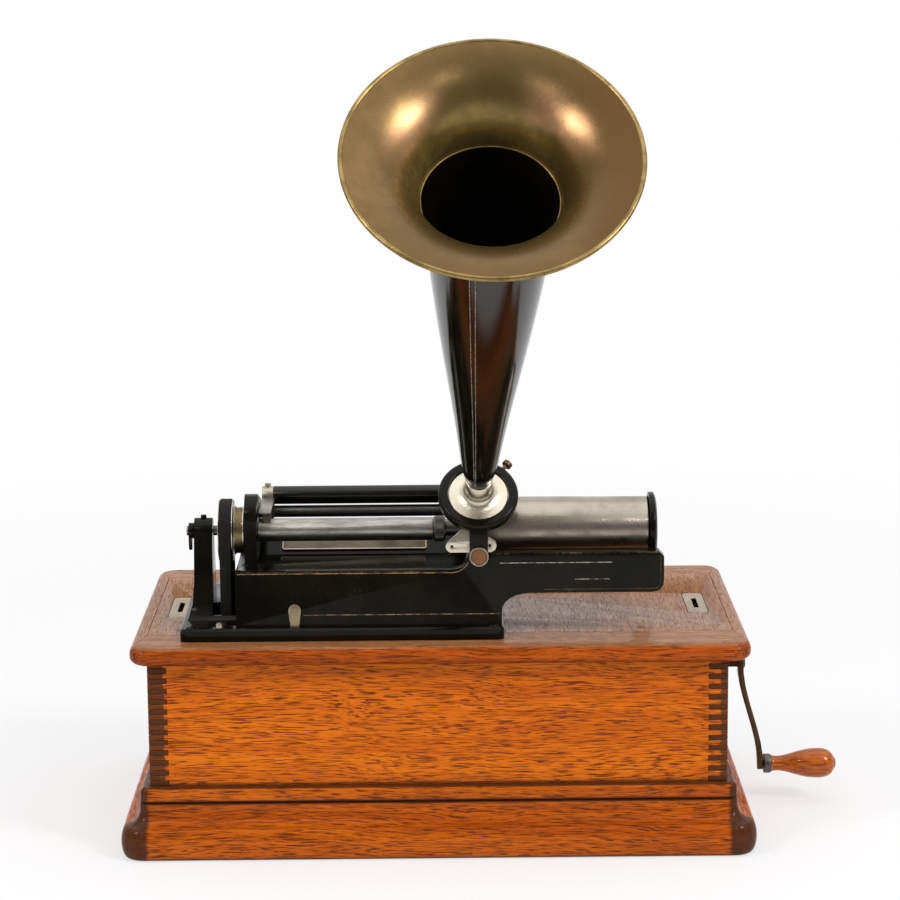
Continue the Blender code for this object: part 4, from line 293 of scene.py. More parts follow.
def plinthShadeAndGrime(paint, x, y, z):
    # painted shade in the groove, along the bead's top where the wall meets it and along the foot by the floor;
    # darker round the corners; dark clouds of grime
    blot = paint.marks((0.06, 0.06, 0.10), 5, 0.7)
    wide = abs(x).step(190, 203) * abs(y).step(100, 113)
    corner = (wide * (blot + 0.55)).step(0.30, 0.72) * 0.92
    # painted shade in the groove and at the bead's top
    groove = z.near(37.4, 0.9, 1.2) * 0.85
    top = z.near(47.4, 0.5, 0.7) * 0.85
    # painted shade along the foot, by the floor
    footShade = z.step(2.6, 0.6) * 0.8
    cloud = blot.step(0.50, 0.75) * 0.42
    return corner.most(groove).most(top).most(footShade).most(cloud)


def edgeStainsAndShade(paint, x, y, z):
    blot = paint.marks((0.07, 0.07, 0.12), 5, 0.7)
    corner = (abs(x - 1.8).step(196, 208) * abs(y).step(106, 118) * (blot + 0.5)).step(0.35, 0.8) * 0.6
    # painted shadow along the underside of the deck's edge
    under = z.step(135.0, 133.9) * 0.7
    return corner.most(under).most(blot.step(0.56, 0.78) * 0.35)


def panelPaintedShade(paint, x, y, z):
    # painted shade: dark lines round the catch plates' recesses and round the foot of the bed
    outline = None
    for middle in (-180.7, 182.1):
        plate = x.near(middle, 7.0, 0.9) * y.near(-1.5, 28.5, 0.9)
        outline = plate if outline is None else outline.most(plate)
    # painted shadow round the bed's foot
    bed = x.near(-64.2, 109.6, 1.8) * (y + 30.7).near(0, 70.2, 1.8) * 0.7
    return (outline * 0.9).most(bed)


def japanPaint(name, wear, rough, shine, edges=()):
    # stoved black enamel, with brown specks where it has rubbed thin
    paint = Paint(name, Specular_IOR_Level=shine)
    x, y, z = paint.place()
    spot = paint.at(x, y, z)
    smear = paint.noise(spot, 0.05, 4)
    specks = paint.noise(spot, 0.55, 6, 0.7)
    rubbed = (specks * 0.75 + smear * 0.25).step(0.66 - 0.06 * wear, 0.74, 0, wear)
    for level, start, end in edges:
        # the lacquer goes first along an edge at this height
        worn = z.near(level, 0.35, 0.8) * y.step(-89.6, -90.8) * x.near((start + end) / 2, (end - start) / 2, 2)
        rubbed = rubbed.most(worn * (specks * 0.6 + smear * 0.4).step(0.46, 0.60) * 0.7)
    shade = paint.blend(smear.step(0.3, 0.7), (0.0030, 0.0026, 0.0013), (0.0066, 0.0056, 0.0030))
    paint.colour(paint.blend(rubbed, shade, (0.13, 0.085, 0.050)))
    paint.rough(rough + smear * 0.08 + rubbed * 0.3)
    paint.bump(specks, 0.00012, 0.25)
    return paint.material


def metalPaint(name, light, dark, rough, stain=0.5, axis=None, depth=0.2, highlightBand=None):
    # axis is the way that fine tool marks run; past the two x given last no tarnish grows, which paints a highlight
    # on the mandrel's right rim
    paint = Paint(name, Metallic=1.0)
    x, y, z = paint.place()
    spot = paint.at(x, y, z)
    cloud = paint.noise(spot, 0.045, 4, 0.6)
    fine = paint.noise(spot, 0.9, 5, 0.7)
    stretch = {None: (1, 1, 1), "X": (0.03, 1.4, 1.4), "roundX": (2.2, 0.05, 0.05)}[axis]
    marks = paint.marks(stretch, 4, 0.65)
    tarnish = (cloud * 0.6 + fine * 0.25 + marks * 0.15).step(0.42, 0.66)
    # a painted highlight: past these x the metal keeps its light colour
    if highlightBand is not None:
        tarnish = tarnish * x.step(highlightBand[1], highlightBand[0])
    paint.colour(paint.blend(tarnish * stain, light, dark))
    paint.rough(rough + (cloud - 0.5) * 0.14 + marks * 0.12 + tarnish * 0.08)
    paint.bump(marks, 0.00008, depth)
    return paint.material


def bellPaint():
    # brushed brass gone brown in clouds and redder towards the rim; olive in the throat, made lighter there by a
    # painted reflection; painted shade on the right and low down, and two painted highlights
    look = {"throat": (0.420, 0.300, 0.080), "rim": (0.205, 0.124, 0.045), "dull": (0.135, 0.086, 0.029),
            "spot": (0.070, 0.045, 0.018), "rose": (0.105, 0.055, 0.016), "blush": (0.50, 0.275, 0.135)}
    paint = Paint("agedBellBrass", Metallic=0.72, Specular_IOR_Level=0.3)
    x, y, z = paint.place()
    spot = paint.at(x, y, z)
    cloud = paint.noise(spot, 0.018, 5, 0.6, 0.4)
    mottle = paint.noise(spot, 0.11, 5, 0.65)
    grit = paint.noise(spot, 1.1, 4, 0.7)
    depth = (x - 28.2) * 0.0148 - (y + 79.2) * 0.7192 + (z - 240.2) * 0.6946  # along the horn from its ring
    dull = (cloud * 0.6 + mottle * 0.4).step(0.36, 0.62)
    # olive in the throat and made lighter there by a painted reflection, redder towards the rim
    shade = paint.blend(depth.step(326, 354), look["throat"], look["rim"])
    shade = paint.blend(dull * 0.75, shade, look["dull"])
    # painted shade: darker and redder on the right and towards the bottom
    shade = paint.blend((x.step(52, 100) * 0.9).most(z.step(480, 425) * 0.6), shade, look["rose"])
    sides = abs(x - 28).step(18, 40) * z.step(484, 506)  # painted highlights: two brighter, warmer patches, high on the left and the right
    shade = paint.blend(depth.near(348, 3, 6) * sides * (mottle * 1.2 + 0.1), shade, look["blush"])
    shade = paint.blend(grit.step(0.60, 0.78) * 0.4, shade, look["spot"])
    paint.colour(shade)
    paint.rough(0.22 + dull * 0.05 + grit * 0.06)
    paint.bump(grit, 0.00010, 0.25)
    return paint.material


def rimPaint():
    paint = Paint("rubbedRimBrass", Metallic=1.0)
    wear = paint.marks((0.08, 0.08, 0.08), 4)
    paint.colour(paint.blend(wear.step(0.35, 0.7), (0.36, 0.25, 0.095), (0.18, 0.12, 0.045)))
    paint.rough(0.26 + wear * 0.14)
    return paint.material


def beltPaint():
    paint = Paint("beltLeather", Specular_IOR_Level=0.2)
    lines = paint.marks((1.6, 0.02, 0.02), 4)
    scuff = paint.marks((0.4, 0.4, 0.4), 5)
    worn = (lines * 0.6 + scuff * 0.4).step(0.4, 0.7)
    paint.colour(paint.blend(worn, (0.004, 0.004, 0.0035), (0.016, 0.014, 0.010)))
    paint.rough(0.55 + scuff * 0.25)
    paint.bump(lines, 0.0002, 0.5)
    return paint.material


def threadPaint():
    # the feed screw's fine thread, with painted shade in its grooves
    paint = Paint("feedScrewSteel", Metallic=1.0)
    thread = (paint.place()[0] * 8.2).wave()
    cloud = paint.marks((0.05, 0.3, 0.3), 4)
    shade = paint.blend(cloud.step(0.35, 0.7), (0.47, 0.445, 0.40), (0.26, 0.245, 0.215))
    # painted shade in the thread's grooves
    paint.colour(paint.blend(thread.step(-0.2, -0.9) * 0.35, shade, (0.10, 0.095, 0.085)))
    paint.rough(0.30 + cloud * 0.12)
    paint.bump(thread, 0.00006, 0.6)
    return paint.material


def handlePaint():
    paint = Paint("handleWood", Specular_IOR_Level=0.12, Coat_Weight=0.5, Coat_Roughness=0.03)
    grainy = paint.marks((0.05, 0.6, 0.6), 5, 0.6)
    fine = paint.marks((0.16, 2.2, 2.2), 4, 0.6)
    shade = paint.blend(grainy.step(0.35, 0.68), (0.52, 0.120, 0.004), (0.22, 0.042, 0.002))
    paint.colour(paint.blend(fine.step(0.56, 0.7) * 0.5, shade, (0.09, 0.025, 0.006)))
    paint.rough(0.22 + fine * 0.1)
    return paint.material


def giltPaint(name, light):
    # thin gilt lines, worn away in places
    paint = Paint(name, Specular_IOR_Level=0.3)
    worn = paint.marks((0.16, 0.5, 0.5), 5, 0.7)
    gone = worn.step(0.44, 0.56)
    paint.colour(paint.blend(gone * 0.85, light, (0.010, 0.009, 0.007)))
    paint.rough(0.35 + gone * 0.05)
    return paint.material


def micaPaint():
    paint = Paint("mica")
    cloud = paint.marks((0.2, 0.2, 0.2), 4)
    paint.colour(paint.blend(cloud, (0.62, 0.55, 0.42), (0.42, 0.36, 0.27)))
    paint.rough(0.15 + cloud * 0.1)
    return paint.material


metals = {  # light, dark, roughness, then the share of tarnish, the way of the tool marks, their depth, and the x where a painted highlight begins
    "nickel": ((0.46, 0.42, 0.34), (0.26, 0.225, 0.165), 0.24),
    "nickelDish": ((0.66, 0.60, 0.48), (0.46, 0.40, 0.29), 0.22, 0.45),
    "nickelMandrel": ((0.41, 0.365, 0.300), (0.22, 0.190, 0.148), 0.22, 0.7, "X", 0.2, (142.6, 143.2)),
    "nickelBright": ((0.66, 0.62, 0.54), (0.44, 0.40, 0.32), 0.20, 0.3),
    "nickelDull": ((0.125, 0.110, 0.084), (0.055, 0.047, 0.034), 0.40, 0.8, None, 0.6),
    "catchMetal": ((0.42, 0.345, 0.245), (0.23, 0.178, 0.12), 0.32, 0.6),
    "steel": ((0.34, 0.32, 0.29), (0.16, 0.148, 0.13), 0.30, 0.5, "roundX"),
    "darkSteel": ((0.13, 0.125, 0.11), (0.055, 0.052, 0.045), 0.30, 0.5, "roundX"),
    "crankBronze": ((0.095, 0.055, 0.030), (0.042, 0.024, 0.013), 0.30, 0.8),
    "turnedBrass": ((0.34, 0.275, 0.15), (0.15, 0.115, 0.058), 0.30, 0.5, "roundX"),
    "leverBrass": ((0.42, 0.35, 0.22), (0.075, 0.055, 0.030), 0.40, 0.95),
    "copperBronze": ((0.25, 0.120, 0.060), (0.085, 0.042, 0.024), 0.34, 0.9),
    "darkCopper": ((0.120, 0.066, 0.044), (0.045, 0.026, 0.018), 0.34),
    "knobRim": ((0.34, 0.27, 0.20), (0.15, 0.11, 0.08), 0.28),
}
finishes = {name: metalPaint(name, *look) for name, look in metals.items()}
oaks = {  # way of the grain, look, axis of the end grain, stains and painted shade, then the grain of the top, paler with a painted reflection, and its rays
    "oakFront": ("X", "wall", "X", cornerStainsAndShade),
    "oakSide": ("Y", "wall", "Y", sideStainsAndShade),
    "oakPlain": ("X", "plinth"),
    "plinthFront": ("X", "plinth", None, plinthShadeAndGrime),
    "plinthSide": ("Y", "plinth", None, plinthShadeAndGrime),
    "deckEdgeFront": ("X", "edge", None, edgeStainsAndShade, "X", 0.5),
    "deckEdgeSide": ("Y", "edge", None, edgeStainsAndShade, "Y"),
    "deckBoard": ("Y", "edge", None, panelPaintedShade, "Y", 0.85),
}
finishes |= {name: oakPaint(name, *look) for name, look in oaks.items()}
finishes |= {
    "japan": japanPaint("japanIron", 0.6, 0.11, 0.15),
    "japanBed": japanPaint("japanBed", 0.75, 0.11, 0.14, ((191.4, -140, 6), (203.7, 20, 150))),
    "japanSmooth": japanPaint("japanTin", 0.12, 0.04, 0.36),
    "thread": threadPaint(),
    "bell": bellPaint(),
    "bellRim": rimPaint(),
    "leather": beltPaint(),
    "handle": handlePaint(),
    "gilt": giltPaint("giltLine", (0.30, 0.175, 0.050)),
    "giltFaint": giltPaint("giltFaint", (0.075, 0.044, 0.014)),
    # pale worn lines on the rail, and also the painted highlights on the cone's seam
    "wornLine": giltPaint("wornLine", (0.30, 0.28, 0.235)),
    "mica": micaPaint(),
}
print("materials made:", len(finishes))


def moved(x, y, z):
    # a shift; here and below, sizes and places are in millimetres
    return Matrix.Translation(Vector((x, y, z)) * mm)


def toward(direction, place=(0, 0, 0)):
    # a placement that carries local Z onto a direction
    turn = Vector((0, 0, 1)).rotation_difference(Vector(direction))
    return moved(*place) @ turn.to_matrix().to_4x4()


def arc(centre, radius, start, end, steps, height=None):
    tall = radius if height is None else height
    turns = [math.radians(start + (end - start) * step / steps) for step in range(steps + 1)]
    return [(centre[0] + radius * math.cos(turn), centre[1] + tall * math.sin(turn)) for turn in turns]


def band(inner, outer, low, high):
    # the profile of a plain ring, or of a plain rod where inner is 0
    return [(inner, low), (outer, low), (outer, high), (inner, high)]


def hull(points):
    # the convex outline round a set of points
    ordered = sorted(set(points))
    chains = []
    for run in (ordered, ordered[::-1]):
        chain = []
        for point in run:
            while len(chain) > 1:
                a, b = chain[-2], chain[-1]
                if (b[0] - a[0]) * (point[1] - a[1]) - (b[1] - a[1]) * (point[0] - a[0]) > 0:
                    break
                chain.pop()
            chain.append(point)
        chains.append(chain[:-1])
    return chains[0] + chains[1]


def curved(points, steps=6):
    # a smooth line through points given as (along, radius)
    fine = []
    last = len(points) - 1
    for index in range(last):
        four = [points[k] for k in (max(index - 1, 0), index, index + 1, min(index + 2, last))]
        for step in range(steps):
            t = step / steps
            spot = []
            for axis in (0, 1):
                a, b, c, d = (point[axis] for point in four)
                spot.append(0.5 * (2 * b + (c - a) * t + (2 * a - 5 * b + 4 * c - d) * t ** 2
                                   + (3 * b - a - 3 * c + d) * t ** 3))
            fine.append(tuple(spot))
    return fine + [points[last]]


def eased(points, radius, closed=True, steps=3):
    # an outline whose corners are rounded a little, so that edges catch the light
    tiny, straight, reach = 1e-4, 0.3, 0.45  # no length, nearly no bend, share of a side that an arc may take
    soft = []
    count = len(points)
    for index, point in enumerate(points):
        here = Vector(point)
        before, after = Vector(points[index - 1]) - here, Vector(points[(index + 1) % count]) - here
        end = not closed and index in (0, count - 1)
        if end or min(before.length, after.length) < tiny or abs(before.angle(after) - math.pi) < straight:
            soft.append(point)
            continue
        near = here + before.normalized() * min(radius, before.length * reach)
        far = here + after.normalized() * min(radius, after.length * reach)
        for step in range(steps + 1):
            share = step / steps
            spot = near * (1 - share) ** 2 + here * 2 * share * (1 - share) + far * share ** 2
            soft.append((spot.x, spot.y))
    return soft


def corner(solid, x, y, z):
    return solid.verts.new((x * mm, y * mm, z * mm))


def skin(solid, rows, around=True, back=False):
    # faces from each row of corners to the next; around closes the rows, back joins the last to the first
    nexts = rows[1:] + (rows[:1] if back else [])
    for here, there in zip(rows, nexts):
        for index in range(len(here) if around else len(here) - 1):
            after = (index + 1) % len(here)
            solid.faces.new((here[index], here[after], there[after], there[index]))


def turned(profile, place, sides=96, ring=False, ease=0.0):
    # a profile of (radius, height) points spun about local Z
    if ease:
        profile = eased(profile, ease, ring)
    solid = bmesh.new()
    rows = []
    for step in range(sides):
        turn = math.tau * step / sides
        cos, sin = math.cos(turn), math.sin(turn)
        rows.append([corner(solid, radius * cos, radius * sin, height) for radius, height in profile])
    skin(solid, rows, ring, True)
    bmesh.ops.remove_doubles(solid, verts=solid.verts[:], dist=1e-7)
    bmesh.ops.dissolve_degenerate(solid, edges=solid.edges[:], dist=1e-8)
    solid.transform(place)
    return solid


def prism(outline, low, high):
    # an outline of (y, z) points pushed along X
    solid = bmesh.new()
    rows = [[corner(solid, x, y, z) for y, z in outline] for x in (low, high)]
    for row in rows:
        solid.faces.new(row)
    skin(solid, rows)
    return solid


def rounded(solid, width, angle=32, segments=2):
    # bevels the sharp edges of a solid
    bmesh.ops.recalc_face_normals(solid, faces=solid.faces[:])
    sharp = [edge for edge in solid.edges
             if len(edge.link_faces) == 2 and edge.calc_face_angle(0) > math.radians(angle)]
    bmesh.ops.bevel(solid, geom=sharp, offset=width * mm, segments=segments, profile=0.5, affect="EDGES",
                    clamp_overlap=True)
    return solid


def joined(solids):
    whole = bmesh.new()
    for solid in solids:
        mesh = bpy.data.meshes.new("part")
        solid.to_mesh(mesh)
        solid.free()
        whole.from_mesh(mesh)
        bpy.data.meshes.remove(mesh)
    return whole


def addObject(name, data):
    thing = bpy.data.objects.new(name, data)
    bpy.context.scene.collection.objects.link(thing)
    return thing


def piece(name, solid, finish, body, smooth=38):
    bmesh.ops.recalc_face_normals(solid, faces=solid.faces[:])
    mesh = bpy.data.meshes.new(name)
    solid.to_mesh(mesh)
    solid.free()
    mesh.materials.append(finishes[finish])
    mesh.shade_smooth()
    mesh.set_sharp_from_angle(angle=math.radians(smooth))
    thing = addObject(name, mesh)
    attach(thing, body)
    return thing


def standIn(node, solid, finish, smooth=38, ending="Fine"):
    # the piece that takes a CAD node's place, named after it
    words = node.split("_")
    name = words[0] + "".join(word.capitalize() for word in words[1:]) + ending
    thing = piece(name, solid, finish, nodes[node]["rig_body"], smooth)
    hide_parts(node)


def cleanCopy(node):
    # a CAD node's mesh, with double corners merged and flat faces made whole
    solid = bmesh.new()
    solid.from_mesh(nodes[node].data)
    bmesh.ops.remove_doubles(solid, verts=solid.verts[:], dist=2e-6)
    bmesh.ops.dissolve_limit(solid, angle_limit=math.radians(0.6), verts=solid.verts[:], edges=solid.edges[:])
    return solid


def softened(node, finish, width, angle=50, segments=2, smooth=32):
    # a copy of a CAD node with its edges eased, which stands for it
    standIn(node, rounded(cleanCopy(node), width, angle, segments), finish, smooth, "Eased")


def repaint(node, finish):
    thing = nodes[node]
    thing.data.materials.clear()
    thing.data.materials.append(finishes[finish])


# places that several pieces share
shaft = {"y": -50, "z": 212, "bore": 5.3}
rodLine = {"y": 0.0, "z": 214.4, "tubeZ": 226.0}
reproducer = {"x": 28.2, "tilt": math.radians(44), "lean": math.radians(0.85), "standoff": 40.6}
shaftPlace = toward((1, 0, 0), (0, shaft["y"], shaft["z"]))


def placeRing():
    tilt, lean = reproducer["tilt"], reproducer["lean"]
    ahead = Vector((0, -math.cos(tilt), math.sin(tilt)))
    up = Vector((0, math.sin(tilt), math.cos(tilt)))
    out = ahead * math.cos(lean) + Vector((math.sin(lean), 0, 0))
    turn = Matrix((up.cross(out), up, out)).transposed().to_4x4()
    return Vector((reproducer["x"], shaft["y"], shaft["z"])) + ahead * reproducer["standoff"], turn


ringCentre, ringTurn = placeRing()
ringPlace = moved(*ringCentre) @ ringTurn


def makeSeamHighlight(name, line, turn):
    # a painted highlight along one edge of the folded seam that runs down the front of the cone
    seam = {"width": 0.5, "proud": 0.08}
    along, across = Vector((math.sin(turn), -math.cos(turn), 0)), Vector((math.cos(turn), math.sin(turn), 0))
    side = across * seam["width"] / 2
    solid = bmesh.new()
    rows = []
    for radius, height in line:
        spot = along * (radius + seam["proud"]) + Vector((0, 0, height))
        rows.append([corner(solid, *(spot - side)), corner(solid, *(spot + side))])
    skin(solid, rows, False)
    solid.transform(ringPlace)
    piece(name, solid, "wornLine", "horn")


def makeHorn():
    cone = {"start": 14, "length": 306.7, "small": 8.0, "large": 41.1, "wall": 0.9,
            "along": (0.0, 0.026, 0.041, 0.099, 0.273, 0.64, 1.0),
            "swell": (0.0, 0.006, 0.056, 0.133, 0.296, 0.677, 1.0), "seams": (-18.5, -13)}
    line = [(cone["start"] + cone["length"] * along, cone["small"] + (cone["large"] - cone["small"]) * swell)
            for along, swell in zip(cone["along"], cone["swell"])]
    outer = [(radius, height) for height, radius in line[:1] + curved(line[1:])]
    inner = [(radius - cone["wall"], height) for radius, height in reversed(outer)]
    standIn("horn_cone", turned(outer + inner, ringPlace, 128, True), "japanSmooth", 50)
    # painted highlights along the seam's two edges
    for index, turn in enumerate(cone["seams"]):
        makeSeamHighlight(f"hornSeamHighlight{index + 1}", outer[2:-1], math.radians(turn))
    bell = {"neck": 41.4, "depth": 42.0, "radius": 86.6, "wall": 0.9, "bead": 1.6, "beadIn": 0.1, "sleeve": 6,
            "turn": 76, "steps": 32, "sides": 160, "lip": 40.85, "lipRise": 0.2, "lipRadius": 0.55,
            "hem": {"inner": 41.2, "outer": 42.6, "low": 6.4, "high": 5.4}}
    neck, depth, wall, sides = bell["neck"], bell["depth"], bell["wall"], bell["sides"]
    end = cone["start"] + cone["length"]
    flare = [(neck, end - bell["sleeve"]), (neck, end)]
    last = math.radians(bell["turn"])
    for step in range(1, bell["steps"] + 1):
        turn = last * step / bell["steps"]
        spread = (1 - math.cos(turn)) / (1 - math.cos(last))
        flare.append((neck + (bell["radius"] - neck) * spread, end + depth * math.sin(turn) / math.sin(last)))
    outside = []
    for index, point in enumerate(flare):
        before, after = Vector(flare[max(index - 1, 0)]), Vector(flare[min(index + 1, len(flare) - 1)])
        run = (after - before).normalized()
        outside.append((point[0] + run.y * wall, point[1] - run.x * wall))
    rim = flare[-1]
    standIn("horn_bell", turned(flare + outside[::-1], ringPlace, sides, True), "bell", 50)
    bead = arc((rim[0] - bell["beadIn"], rim[1] - bell["bead"] + wall / 2), bell["bead"], 0, 360, 18)[:-1]
    piece("hornBellRim", turned(bead, ringPlace, sides, True), "bellRim", "horn")
    lip = arc((bell["lip"], end + bell["lipRise"]), bell["lipRadius"], 0, 360, 14)[:-1]
    piece("hornThroatEdge", turned(lip, ringPlace, 128, True), "bellRim", "horn")
    inner, outer, low, high = bell["hem"].values()
    hem = band(inner, outer, end - low, end - high)
    piece("hornSleeveEdge", turned(hem, ringPlace, 128, True, 0.3), "bell", "horn")


makeHorn()
print("horn made")


def makeReproducer():
    body = {"bore": 17.9, "inner": 19.4, "outer": 22.2, "back": -8.5, "floor": -7, "front": 1.5}
    bore, inner, outer, back, floor, front = body.values()
    profile = [(bore, back), (outer, back), (outer, front), (inner, front), (inner, floor), (bore, floor)]
    standIn("reproducer_body", turned(profile, ringPlace, 96, True, 0.4), "nickel")
    dish = {"rim": 20.0, "neck": 9.2, "bore": 8.5, "hole": 13.9, "back": 1.8, "rimTop": 3.0, "flareTop": 8.5,
            "top": 22.0, "soft": 0.3, "backSoft": 0.2}
    rim, neck, bore, hole, back, rimTop, flareTop, top, soft, backSoft = dish.values()
    wall, height = neck - bore, flareTop - rimTop
    flare = arc((rim, rimTop + height), rim - neck, 268, 180, 20, height)
    under = [(radius - wall, level - wall) for radius, level in reversed(flare[3:-1])]
    edge = [(rim - backSoft, back), (rim, back + backSoft), (rim, rimTop - soft), (rim - soft, rimTop)]
    lip = [(neck, top - soft), (neck - soft, top), (bore, top), (bore, flareTop - wall)]
    profile = edge + flare + lip + under + [(hole, back)]
    standIn("reproducer_dish", turned(profile, ringPlace, 128, True), "nickelDish", 50)


def makeArm():
    ring = {"inner": 20.5, "seat": 22.5, "face": 25.5, "outer": 27, "back": -2, "ledge": 1.8, "side": 3.0,
            "top": 4.5}
    inner, seat, face, outer, back, ledge, side, top = ring.values()
    profile = [(seat, back), (outer, back), (outer, side), (face, top), (inner, top), (inner, ledge),
               (seat, ledge)]
    parts = [turned(profile, ringPlace, 128, True, 0.6)]
    arm = {"half": 6.25, "outer": 48, "inner": 38, "seat": 22.7, "rise": 1.0, "hub": 9, "hubTube": 9.9,
           "hubRod": 7.7, "legBack": -91.9, "legFront": -98.5, "legLow": 196.5, "slope": (-93.6, 222.5),
           "legHigh": 220.9, "legTop": 225.2}
    middle, half, tilt, line = reproducer["x"], arm["half"], reproducer["tilt"], (shaft["y"], shaft["z"])
    arch = arc(line, arm["outer"], 19, 107, 40)
    # the arch stops at the reproducer's seat
    arch.append((ringCentre.y + math.sin(tilt) * arm["seat"] - math.cos(tilt) * arm["rise"],
                 ringCentre.z + math.cos(tilt) * arm["seat"] + math.sin(tilt) * arm["rise"]))
    arch += arc(line, arm["inner"], 99.4, 19, 36)
    parts.append(rounded(prism(arch, middle - half, middle + half), 1.2))
    back, front, low = arm["legBack"], arm["legFront"], arm["legLow"]
    leg = [(front, low), (back, low), (back, arm["legHigh"]), arm["slope"], (front, arm["legTop"])]
    parts.append(rounded(prism(leg, middle - half, middle + half), 1.0, 20))
    tube, rod = (rodLine["y"], rodLine["tubeZ"]), (rodLine["y"], rodLine["z"])
    hub = hull(arc(tube, arm["hubTube"], 0, 360, 40) + arc(rod, arm["hubRod"], 0, 360, 40))
    parts.append(rounded(prism(hub, middle - arm["hub"], middle + arm["hub"]), 0.8, 60))
    standIn("speaker_arm", joined(parts), "japan")


def makeFittings():
    knob = {"radius": 6.5, "face": -102.3, "back": -98.8, "spindle": 2.2, "end": -92.2, "dip": 0.7, "z": 203.5,
            "hollow": 5.3, "lip": 5.4, "disc": 4.9, "discEdge": 5.2, "discTop": 0.3, "discFoot": 0.8}
    radius, face, back, spindle, end, dip, height, hollow, lip, disc, discEdge, discTop, discFoot = knob.values()
    place = toward((0, 1, 0), (reproducer["x"], 0, height))
    profile = [(0, face + dip), (hollow, face + dip), (lip, face), (radius, face), (radius, back),
               (spindle, back), (spindle, end), (0, end)]
    standIn("arm_knob", turned(profile, place, 64, False, 0.3), "knobRim")
    profile = [(0, face + discTop), (disc, face + discTop), (discEdge, face + discFoot), (0, face + discFoot)]
    piece("armKnobFace", turned(profile, place, 64), "copperBronze", "arm_knob")
    screw = {"radius": 3.3, "shank": 1.4, "start": 22.8, "head": 30.5, "end": 33.5, "lift": 1.25, "turn": 51}
    radius, shank, start, head, end, lift, angle = screw.values()
    turn = Matrix.Rotation(math.radians(angle - 90), 4, "Z") @ Matrix.Rotation(math.radians(-90), 4, "X")
    profile = [(0, start), (shank, start), (shank, head), (radius, head), (radius, end), (0, end)]
    solid = turned(profile, ringPlace @ moved(0, 0, lift) @ turn, 48, False, 0.35)
    standIn("ring_thumb_screw", solid, "darkCopper")


makeReproducer()
makeArm()
makeFittings()
print("reproducer and arm made")


def makeShaftLine():
    bore = shaft["bore"]
    mandrel = {"left": 27, "right": 144.3, "radius": 21.6, "end": 20.9, "wall": 2, "hub": 8, "webLeft": 33,
               "webRight": 138.3}
    left, right, radius, end, wall, hub, webLeft, webRight = mandrel.values()
    profile = [(bore, left), (radius, left), (end, right), (end - wall, right), (radius - wall, webLeft),
               (hub, webLeft), (hub, webRight), (bore, webRight)]
    standIn("mandrel", turned(profile, shaftPlace, 128, True, 0.7), "nickelMandrel")
    line = {"left": -152.7, "right": 142.1, "radius": 5, "pivot": 3.4, "shoulder": -149.1}
    left, right, radius, pivot, shoulder = line.values()
    profile = [(0, left), (pivot, left), (pivot, shoulder), (radius, shoulder), (radius, right), (0, right)]
    standIn("main_shaft", turned(profile, shaftPlace, 48), "darkSteel")
    screw = {"radius": 7.9, "left": -122, "right": -2.5}
    standIn("feed_screw", turned(band(bore, *screw.values()), shaftPlace, 72, True, 0.5), "thread")
    collar = {"left": -2.2, "right": 6.1, "radius": 8.85, "depth": 0.3, "flutes": 44, "inset": 1.2, "end": 8.2}
    left, right, radius, depth, flutes, inset, end = collar.values()
    outline = []
    for index in range(2 * flutes):
        reach, turn = radius - (0 if index % 2 else depth), math.pi * index / flutes
        outline.append((reach * math.cos(turn), reach * math.sin(turn)))
    knurl = prism(outline, left + inset, right - inset)
    knurl.transform(moved(0, shaft["y"], shaft["z"]))
    ends = turned(band(bore, end, left, right), shaftPlace, 64, True, 0.5)
    standIn("screw_collar", joined([knurl, ends]), "darkSteel", 25)


def makeWheels():
    wheel = {"left": -148.8, "right": -138.9, "radius": 21, "seat": 19.8, "flange": 0.6, "web": 18.6,
             "edge": 18.5}
    left, right, radius, seat, flange, web, inner = wheel.values()
    bore = shaft["bore"]
    profile = [(bore, left), (web, left), (web, left + flange), (seat, left + flange), (seat, right - flange),
               (web, right - flange), (web, right), (bore, right)]
    standIn("belt_wheel", turned(profile, shaftPlace, 96, True, 0.2), "japan")
    edges = [turned(band(inner, radius, low, low + flange), shaftPlace, 96, True, 0.15)
             for low in (left, right - flange)]
    piece("beltWheelEdges", joined(edges), "nickelBright", "mandrel_set")
    drum = {"left": -138.1, "right": -131.5, "radius": 16.5, "waist": 15.8, "flange": 0.8, "ridges": 6,
            "dip": 0.4, "edge": 14}
    left, right, radius, waist, flange, ridges, dip, inner = drum.values()
    profile = [(bore, left), (radius, left), (radius, left + flange)]
    width = (right - left - 2 * flange) / ridges
    for index in range(ridges):
        low = left + flange + index * width
        profile += [(waist - dip, low + 0.05), (waist, low + width * 0.3), (waist, low + width * 0.7),
                    (waist - dip, low + width - 0.05)]
    profile += [(waist, right - flange), (waist, right), (bore, right)]
    standIn("brass_drum", turned(profile, shaftPlace, 96, True), "turnedBrass", 25)
    edge = turned(band(inner, radius, right - flange, right), shaftPlace, 96, True, 0.2)
    piece("brassDrumEdge", edge, "nickelBright", "mandrel_set")


def makeBelt():
    belt = {"left": -147.7, "right": -140.0, "thick": 1.6, "wheel": 20.1, "pulley": 16.1, "pulleyZ": 66.57}
    left, right, thick, wheel, pulley, low = belt.values()
    lean = math.degrees(math.asin((wheel - pulley) / (shaft["z"] - low)))
    loops = [arc((shaft["y"], shaft["z"]), wheel + extra, -lean, 180 + lean, 48)
             + arc((shaft["y"], low), pulley + extra, 180 + lean, 360 - lean, 40) for extra in (0, thick)]
    solid = bmesh.new()
    rows = [[corner(solid, x, y, z) for y, z in loops[loop]]
            for loop, x in ((0, left), (1, left), (1, right), (0, right))]
    skin(solid, rows, True, True)
    standIn("drive_belt", rounded(solid, 0.3, 60), "leather")


